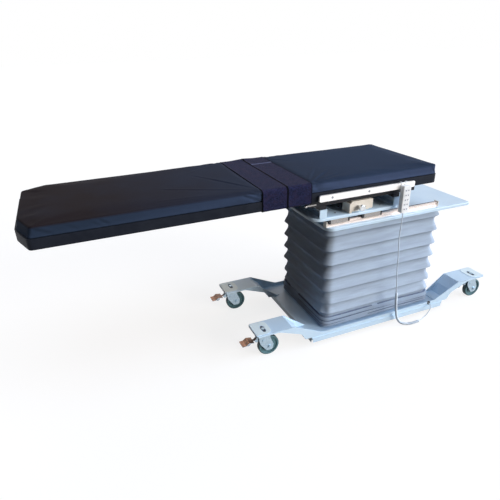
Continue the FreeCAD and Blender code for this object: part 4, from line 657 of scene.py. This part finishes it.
padSet = {
    "pitch": 0.014, "nearCut": (0.052, 0.138), "farCut": (0.112, 0.060), "headOut": 0.006,
    "headLean": 0.012, "leanEase": (0.06, 0.5), "headRound": 0.014, "footRound": 0.026, "roundCuts": 4,
    "topEdge": 0.005, "topCuts": 2, "lowEdge": 0.004, "weld": 0.0008,
    # how the straps draw the cover in, how far past them it is held, and how high its seam is held
    "pinch": 0.0035, "pinchDown": 0.6, "pinchPast": 0.002, "pinchSides": 0.25, "pinchAbove": 0.03,
    "seam": 0.006, "frames": 20, "cap": 0.005,
    "ridge": (1.3, 0.8),  # the fold beside each groove: where it stands, in half widths, and how high
    "creaseEnds": (-0.05, 0.12, 0.6, 1.05), "creaseFade": 0.85, "creaseWide": 4,
    # start, end, depth and half width of each crease, from the column's axis: on top, then on the near side
    "topCreases": [
        ((-0.938, -0.016), (-0.795, -0.262), 0.0016, 0.007), ((-1.01, 0.095), (-0.8, -0.245), 0.0012, 0.008),
        ((-1.21, -0.079), (-0.8, -0.287), 0.0014, 0.009), ((-1.249, -0.248), (-1.0, -0.27), 0.001, 0.008),
        ((-0.5, -0.295), (-0.318, -0.145), 0.003, 0.008), ((-0.5, -0.298), (-0.26, -0.21), 0.0016, 0.009),
        ((-0.5, -0.27), (-0.345, -0.06), 0.0016, 0.008), ((-0.5, 0.215), (-0.4, 0.12), 0.0014, 0.008),
        ((-0.785, 0.28), (-1.02, 0.16), 0.0012, 0.009), ((0.24, -0.285), (0.17, -0.19), 0.0008, 0.008)],
    "sideCreases": [
        ((-0.868, 0.969), (-0.777, 0.94), 0.0042, 0.006), ((-0.845, 0.98), (-0.777, 0.958), 0.0036, 0.005),
        ((-0.83, 0.947), (-0.777, 0.933), 0.0028, 0.005), ((-0.506, 0.958), (-0.44, 0.972), 0.0032, 0.006),
        ((-0.506, 0.938), (-0.392, 0.941), 0.0026, 0.006), ((-1.512, 0.965), (-1.466, 0.935), 0.0022, 0.007),
        ((-1.54, 0.958), (-1.5, 0.934), 0.0016, 0.006), ((-1.766, 0.967), (-1.686, 0.932), 0.002, 0.008),
        ((-1.64, 0.962), (-1.59, 0.934), 0.001, 0.008), ((0.241, 0.975), (0.226, 0.936), 0.0026, 0.004),
        ((0.241, 0.975), (0.262, 0.936), 0.0026, 0.004), ((0.02, 0.97), (0.12, 0.945), 0.0008, 0.009)],
}
coverSet = {
    "vertex_group_mass": "held", "quality": 6, "mass": 0.2, "tension_stiffness": 20,
    "compression_stiffness": 20, "shear_stiffness": 8, "bending_stiffness": 0.3, "shrink_min": -0.008,
    "use_pressure": True, "uniform_pressure_force": 1.6,
}
panelSet = {"headOut": 0.020, "farCut": (0.020, 0.020), "lowRound": 0.004, "lowCuts": 3}


def cutBox(low, high, farCut):
    # a box with two corners cut off at the head end and all its upright edges rounded, left in edit mode
    centre = (low + high) / 2
    piece = newBox(low, high)
    beginEdit(piece)
    for side, edge, (cutX, cutY) in ((-1, low.y, padSet["nearCut"]), (1, high.y, farCut)):
        selectAll()
        bpy.ops.mesh.bisect(plane_co=(low.x + cutX, edge, 0), plane_no=(-cutY, side * cutX, 0),
                            clear_outer=True, use_fill=True)
    for atFoot, radius in ((False, padSet["headRound"]), (True, padSet["footRound"])):
        pick(piece, "EDGE", lambda edge: runsAlong(edge, up) and (middleOf(edge).x > centre.x) == atFoot)
        roundEdges(radius, padSet["roundCuts"])
    return piece


def makePanel():
    # the laminated panel stands out a little past the pad at the head end
    low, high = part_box("tabletop_panel")
    piece = cutBox(low - along * panelSet["headOut"], high, panelSet["farCut"])
    pick(piece, "EDGE", lambda edge: all(end.co.z < low.z + hair for end in edge.verts))
    roundEdges(panelSet["lowRound"], panelSet["lowCuts"])
    endEdit()
    dress(piece, "tabletop_panel_core", laminate, "carriage", ["tabletop_panel"])


def boxedPad(low, high):
    # the same box as an even grid of small faces, leaning out to the seam at its head end
    piece = cutBox(low - along * padSet["headOut"], high, padSet["farCut"])
    edges = ((high.z, padSet["topEdge"], padSet["topCuts"]), (low.z, padSet["lowEdge"], 1))
    for height, radius, cuts in edges:
        pick(piece, "EDGE", lambda edge: all(abs(end.co.z - height) < hair for end in edge.verts))
        roundEdges(radius, cuts)
    pitch = padSet["pitch"]
    cutAcross(along, steps(low.x, high.x, pitch))
    cutAcross(across, steps(low.y, high.y, pitch))
    cutAcross(up, steps(low.z, high.z, pitch))
    selectAll()
    bpy.ops.mesh.remove_doubles(threshold=padSet["weld"])
    endEdit()
    full, gone = padSet["leanEase"]
    for vertex in piece.data.vertices:
        drop = (high.z - vertex.co.z) / (high.z - low.z)
        vertex.co.x -= padSet["headLean"] * drop * (1 - easing(vertex.co.x, low.x + full, low.x + gone))
    return piece


def puffed(piece, low, head, foot):
    # the cover is cut a little large and blown up by its foam, held at the seam below and under the straps
    held = piece.vertex_groups.new(name="held")
    pinch, past = padSet["pinch"], padSet["pinchPast"]
    for vertex in piece.data.vertices:
        spot = vertex.co
        strapped = head - past < spot.x < foot + past
        if strapped:
            aside = spot.y - columnAt.y
            spot.y -= math.copysign(pinch, aside) * (abs(aside) > padSet["pinchSides"])
            spot.z -= pinch * padSet["pinchDown"] * (spot.z > low.z + padSet["pinchAbove"])
        if strapped or spot.z < low.z + padSet["seam"]:
            held.add([vertex.index], 1.0, "REPLACE")
    before = [vertex.co.copy() for vertex in piece.data.vertices]
    choose(piece)
    cloth = piece.modifiers.new("cover", "CLOTH")
    for name, value in coverSet.items():
        setattr(cloth.settings, name, value)
    cloth.settings.effector_weights.gravity = 0
    cloth.collision_settings.use_collision = False
    cloth.point_cache.frame_end = padSet["frames"]
    for step in range(1, padSet["frames"] + 1):
        bpy.context.scene.frame_set(step)
    bpy.ops.object.modifier_apply(modifier=cloth.name)
    bpy.context.scene.frame_set(1)
    for vertex, start in zip(piece.data.vertices, before):
        moved = vertex.co - start
        if moved.length > padSet["cap"]:
            vertex.co = start + moved.normalized() * padSet["cap"]


def creased(piece):
    # pulled folds: a groove with a ridge along it
    startsAt, fullAt, fadesFrom, endsAt = padSet["creaseEnds"]
    ridgeAt, ridgeHigh = padSet["ridge"]
    for vertex in piece.data.vertices:
        spot, normal = vertex.co, vertex.normal
        local = spot - columnAt
        if normal.z > 0.5:
            marks, place, way = padSet["topCreases"], local.xy, up
        elif normal.y < -0.5:
            marks, place, way = padSet["sideCreases"], Vector((local.x, local.z)), -across
        else:
            continue
        for start, end, depth, width in marks:
            start, line = Vector(start), Vector(end) - Vector(start)
            reach = (place - start).dot(line) / line.length_squared
            if not startsAt < reach < endsAt:
                continue
            offset = (place - start - line * reach).dot(Vector((-line.y, line.x)).normalized()) / width
            if abs(offset) < padSet["creaseWide"]:
                fade = 1 - easing(reach, fadesFrom, endsAt) * padSet["creaseFade"]
                fold = math.exp(-(offset - ridgeAt) ** 2) * ridgeHigh - math.exp(-offset ** 2)
                spot += way * fold * depth * easing(reach, startsAt, fullAt) * fade


def makeMattress():
    low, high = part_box("mattress")
    head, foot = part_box("strap_head")[0].x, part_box("strap_foot")[1].x
    piece = boxedPad(low, high)
    puffed(piece, low, head, foot)
    smooth = piece.modifiers.new("smooth", "SUBSURF")
    smooth.levels = 1
    bpy.ops.object.modifier_apply(modifier=smooth.name)
    creased(piece)
    dress(piece, "mattress_cover", vinyl, "carriage", ["mattress"], 60)
    print("mattress:", len(piece.data.polygons), "faces")


strapSet = {
    "thick": 0.003, "topRound": 0.017, "lowRound": 0.007, "roundCuts": 4, "pitch": (0.008, 0.012, 0.010),
    "drop": 0.009, "sag": 0.85, "waver": 0.0009, "waverScale": (18, 12, 20),
    "skin": 0.004, "sideSkin": 0.006,  # how near the outside a point counts as part of a face
    "bound": 0.0035, "boundRise": 0.0005, "hemFrom": 0.150, "hemRise": 0.0014, "hemStep": 0.004,
    "hemHighlightWide": 0.013, "hemHighlightLap": 0.002,
    # the webs bulge at the far edge of the top, most where the two meet: how high, from where, and how soon
    "bump": 0.004, "bumpFrom": 0.23, "bumpFull": 0.29, "bumpOut": 0.06, "bumpBack": 0.05,
}


def ruffled(piece, low, high, bottom, top, overlapped):
    # ripples, a sagging underside, raised woven edges, the hem's step and the bulge
    centre, half = (bottom + top) / 2, (top.y - bottom.y) / 2
    skin, hem = strapSet["skin"], centre.y + strapSet["hemFrom"]
    for vertex in piece.data.vertices:
        spot = vertex.co
        aside = (spot.y - centre.y) / half
        outward = Vector((0, aside, 0)) if abs(spot.y - centre.y) > half - strapSet["sideSkin"] else Vector()
        outward.z = 1 if spot.z > top.z - skin else -1 if spot.z < bottom.z + skin else 0
        spot += outward.normalized() * abs(noiseAt(spot, strapSet["waverScale"])) * strapSet["waver"]
        if outward.z < 0:
            spot.z -= (1 - ((spot.y - centre.y) / half) ** 2) * strapSet["drop"] * strapSet["sag"]
        if outward.z > 0 and overlapped:
            spot.z += strapSet["hemRise"] * easing(spot.y, hem, hem + strapSet["hemStep"])
        if outward.z > 0:
            meeting = (1 - easing(spot.x, low.x, high.x - strapSet["bumpBack"]) if overlapped
                       else easing(spot.x, low.x + strapSet["bumpOut"], high.x))
            spot.z += strapSet["bump"] * meeting * easing(
                spot.y, centre.y + strapSet["bumpFrom"], centre.y + strapSet["bumpFull"])
        if min(spot.x - low.x, high.x - spot.x) < strapSet["bound"] + hair:
            spot += outward.normalized() * strapSet["boundRise"]


def makeStrap(node, name, overlapped):
    low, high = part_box(node)
    thick = strapSet["thick"]
    inner = Vector((0, thick / 2, thick / 2))
    under = low.z + strapSet["drop"]
    bottom, top = Vector((low.x, low.y, under)) + inner, high - inner
    piece = newBox(bottom, top)
    beginEdit(piece)
    pick(piece, "FACE", lambda face: abs(face.normal.x) > 0.9)
    bpy.ops.mesh.delete(type="FACE")
    middle = (under + high.z) / 2
    for above, radius in ((True, strapSet["topRound"]), (False, strapSet["lowRound"])):
        pick(piece, "EDGE", lambda edge: runsAlong(edge, along) and (middleOf(edge).z > middle) == above)
        roundEdges(radius, strapSet["roundCuts"])
    for direction, pitch, start, end in zip((along, across, up), strapSet["pitch"], bottom, top):
        cutAcross(direction, steps(start, end, pitch))
    cutAcross(along, [low.x + strapSet["bound"], high.x - strapSet["bound"]])
    endEdit()
    ruffled(piece, low, high, bottom, top, overlapped)
    thicken(piece, thick, 0)
    dress(piece, name, pile, "carriage", [node], 45)
    piece.data.materials.append(edgeTape)
    piece.data.materials.append(hemHighlight)
    centre = (bottom + top) / 2
    hem = centre.y + strapSet["hemFrom"]
    for face in piece.data.polygons:
        middleX, middleY, middleZ = face.center
        if min(middleX - low.x, high.x - middleX) < strapSet["bound"]:
            face.material_index = 1
        # painted highlight along the hem's edge
        elif overlapped and middleZ > centre.z and -strapSet["hemHighlightLap"] < middleY - hem < strapSet["hemHighlightWide"]:
            face.material_index = 2
    print(name, len(piece.data.polygons), "faces")


makePanel()
makeMattress()
makeStrap("strap_head", "body_strap_head", False)
makeStrap("strap_foot", "body_strap_foot", True)


# casters, keys and small fittings

wheelSet = {"around": 72, "inside": 0.004, "wall": 0.012, "wallSink": 0.002, "slope": 0.002, "core": 0.021,
            "coreSink": 0.006, "hubRise": 0.008, "treadRound": 0.007, "treadCuts": 4, "treadReach": 0.003}


def makeTyre(corner):
    # a moulded tyre on its disc, with a raised boss round the axle
    low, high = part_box("wheel_" + corner)
    centre = (low + high) / 2
    radius = (high.z - low.z) / 2
    wide = high.y - low.y - wheelSet["inside"]
    piece = newCylinder(wheelSet["around"], radius, wide, centre, (math.pi / 2, 0, 0))
    beginEdit(piece)
    pick(piece, "FACE", lambda face: abs(face.normal.y) > 0.9)
    slope = wheelSet["slope"]
    for width, sink in ((wheelSet["wall"], -wheelSet["wallSink"]), (slope, -wheelSet["coreSink"]),
                        (wheelSet["core"], 0), (slope, wheelSet["hubRise"])):
        bpy.ops.mesh.inset(thickness=width)
        bpy.ops.transform.shrink_fatten(value=sink)
    pick(piece, "EDGE", lambda edge: not runsAlong(edge, across) and all(
        abs(math.hypot(end.co.x - centre.x, end.co.z - centre.z) - radius) < hair for end in edge.verts))
    roundEdges(wheelSet["treadRound"], wheelSet["treadCuts"])
    endEdit()
    dress(piece, "tyre_" + corner, rubber, "wheel_" + corner, ["wheel_" + corner], 35)
    piece.data.materials.append(treadRubber)
    piece.data.materials.append(zinc)
    for face in piece.data.polygons:
        reach = math.hypot(face.center.x - centre.x, face.center.z - centre.z)
        if reach > radius - wheelSet["treadReach"]:
            face.material_index = 1
        elif reach < radius - wheelSet["wall"] - wheelSet["core"]:
            face.material_index = 2


markSet = {"radius": 0.005, "deep": 0.0004, "apart": 0.0075, "sunk": 0.0001}


def makeKeyMarks(number):
    # two small printed arrows on a rocker key, one up and one down
    low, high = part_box("handset_key_%d" % number)
    centre = (low + high) / 2
    for side, name, turn in ((-1, "up", 0), (1, "down", math.pi)):
        place = (centre.x + side * markSet["apart"], low.y - markSet["sunk"], centre.z)
        mark = newCylinder(3, markSet["radius"], markSet["deep"], place, (math.pi / 2, turn, 0))
        dress(mark, "key_mark_%d_%s" % (number, name), markInk, "key_%d" % number, angle=30)


# places from the column's axis
trimSet = {"strip": ((-0.523, -0.2885, 0.858), (-0.470, -0.2865, 0.865)), "knob": (-0.529, -0.287, 0.860),
           "knobRadius": 0.0065}


def makeFrameTrim():
    # light edge strip and its small knob at the head end of the near channel
    makeBlock("channel_edge_strip", *trimSet["strip"], blockSteel, "carriage", "stainless")
    deselectAll()
    bpy.ops.mesh.primitive_uv_sphere_add(segments=24, ring_count=14, radius=trimSet["knobRadius"],
                                         location=Vector(trimSet["knob"]) + columnAt)
    dress(bpy.context.object, "channel_strip_knob", blockSteel, "carriage", angle=60)


plateSet = {
    "channels": [(-0.456, -0.413), (0.005, 0.049)], "channelFace": (0.298, 0.3035),
    "channelHigh": (0.788, 0.833), "shadeLine": (-0.385, 0.335), "shadeLineFace": (0.257, 0.265),
    "shadeLineHigh": (0.7455, 0.7464), "slotAt": (0.761, 0.260, 0.1724), "slotSize": (0.022, 0.060, 0.0006),
}


def makePlates():
    # plates that close the channels' ends, a dark strip of painted shade along each rail, and dark discs of
    # painted shade in the oval slots
    ends = [(side, channel) for side in (-1, 1) for channel in plateSet["channels"]]
    (inner, outer), (floor, roof) = plateSet["channelFace"], plateSet["channelHigh"]
    for number, (side, (startX, endX)) in enumerate(ends, 1):
        makeBlock("channel_end_plate_%d" % number, (startX, side * inner, floor), (endX, side * outer, roof),
                  deckPaint, "carriage", "body_blue")
    # painted shade: a dark strip where each rail's top meets the platform
    (startX, endX), (floor, roof) = plateSet["shadeLine"], plateSet["shadeLineHigh"]
    inner, outer = plateSet["shadeLineFace"]
    for name, side in (("rail_shade_line_near", -1), ("rail_shade_line_far", 1)):
        makeBlock(name, (startX, side * inner, floor), (endX, side * outer, roof), darkSteelAndShade,
                  "lift_platform", "rail_steel")
    # painted shade: a dark disc on the floor of each oval slot
    x, y, z = plateSet["slotAt"]
    for corner, (sideX, sideY) in corners.items():
        disc = newCylinder(32, 0.5, 1, columnAt + Vector((sideX * x, sideY * y, z)))
        disc.scale = plateSet["slotSize"]
        dress(disc, "slot_painted_shade_" + corner, darkSteelAndShade, "base")


traySet = {
    "round": 0.055, "roundCuts": 8, "lip": 0.006, "lipCuts": 3, "sheet": 0.004,
    "headSides": 20, "headRadius": 0.0052, "headHigh": 0.0012,
    "headRows": (-0.256, -0.182, 0.256, 0.182), "headPlaces": (-0.335, -0.267, -0.118, -0.050),
}


def makeTray():
    # pressed tray with big round corners and a soft lip over its skirt
    low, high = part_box("carriage_tray")
    piece = newBox(low, high)
    beginEdit(piece)
    pick(piece, "EDGE", lambda edge: runsAlong(edge, up))
    roundEdges(traySet["round"], traySet["roundCuts"])
    pick(piece, "FACE", lambda face: middleOf(face).z < low.z + hair)
    bpy.ops.mesh.delete(type="ONLY_FACE")
    pick(piece, "EDGE", lambda edge: all(end.co.z > high.z - hair for end in edge.verts))
    roundEdges(traySet["lip"], traySet["lipCuts"])
    endEdit()
    thicken(piece, traySet["sheet"], -1)
    dress(piece, "carriage_tray_pressing", deckPaint, "carriage", ["carriage_tray"], 35)
    heads = [(x, y) for y in traySet["headRows"] for x in traySet["headPlaces"]]
    for number, (x, y) in enumerate(heads, 1):
        place = columnAt + Vector((x, y, high.z))
        screw = newCylinder(traySet["headSides"], traySet["headRadius"], traySet["headHigh"], place)
        dress(screw, "tray_screw_%d" % number, darkSteelAndShade, "carriage")


makeTray()
for corner in corners:
    makeTyre(corner)
for number in range(1, 6):
    makeKeyMarks(number)
makeFrameTrim()
makePlates()
print("casters, marks and fittings made")


# light and floor

lightSet = {
    "lamps": [
        ("front", (0.541, -0.787, 0.295), 2.5, 30, "FFF9F2"),
        ("side", (0.9, -0.3, 0.3), 3.0, 40, "DFEBFF"),
        ("ceiling", (0.1, -0.2, 0.97), 0.9, 50, "D8E8FF"),
        ("back", (0.1, 0.6, 0.8), 0.4, 40, "FFE6D6"),
    ],
    "fill": 0.06, "fillColour": "FFE2D0", "floorSize": 80, "floorBounce": "55524F", "floorShown": 0.80,
    "floorLit": "8C8C8C",
}


def makeLights():
    for name, towards, strength, angle, colour in lightSet["lamps"]:
        lamp = bpy.data.lights.new(name, "SUN")
        lamp.energy = strength
        lamp.angle = math.radians(angle)
        lamp.color = toLinear(colour)[:3]
        sun = bpy.data.objects.new(name, lamp)
        bpy.context.collection.objects.link(sun)
        sun.rotation_euler = Vector(towards).to_track_quat("Z", "Y").to_euler()


def seenDirectly(tree):
    # 1 for the camera and for what metal and glass show
    rays = addNode(tree, "LightPath").outputs
    seen = rays["Is Camera Ray"]
    for kind in ("Is Glossy Ray", "Is Transmission Ray"):
        seen = addNode(tree, "Math", {0: seen, 1: rays[kind]}, operation="MAXIMUM").outputs[0]
    return seen


def makeSurroundings():
    scene = bpy.context.scene
    scene.view_settings.view_transform = "Standard"
    scene.world = bpy.data.worlds.new("studio")
    scene.world.use_nodes = True
    tree = scene.world.node_tree
    tree.nodes.clear()
    soft = addNode(tree, "Background", {
        "Color": toLinear(lightSet["fillColour"]), "Strength": lightSet["fill"]})
    white = addNode(tree, "Background", {"Color": (1, 1, 1, 1), "Strength": 1})
    blend = addNode(tree, "MixShader", {0: seenDirectly(tree), 1: soft.outputs[0], 2: white.outputs[0]})
    addNode(tree, "OutputWorld", {"Surface": blend.outputs[0]})
    deselectAll()
    bpy.ops.mesh.primitive_plane_add(size=lightSet["floorSize"], location=(0, 0, 0))
    floor = bpy.context.object
    floor.name = "studio_floor"
    material = bpy.data.materials.new("pale_floor")
    material.use_nodes = True
    tree = material.node_tree
    tree.nodes.clear()
    bounce = addNode(tree, "BsdfDiffuse", {"Color": toLinear(lightSet["floorBounce"])})
    glow = addNode(tree, "Emission", {"Color": (1, 1, 1, 1), "Strength": lightSet["floorShown"]})
    lit = addNode(tree, "BsdfDiffuse", {"Color": toLinear(lightSet["floorLit"])})
    shown = addNode(tree, "AddShader", {0: glow.outputs[0], 1: lit.outputs[0]})
    either = addNode(tree, "MixShader", {0: seenDirectly(tree), 1: bounce.outputs[0], 2: shown.outputs[0]})
    addNode(tree, "OutputMaterial", {"Surface": either.outputs[0]})
    floor.data.materials.append(material)


makeLights()
makeSurroundings()
print("light and floor set")
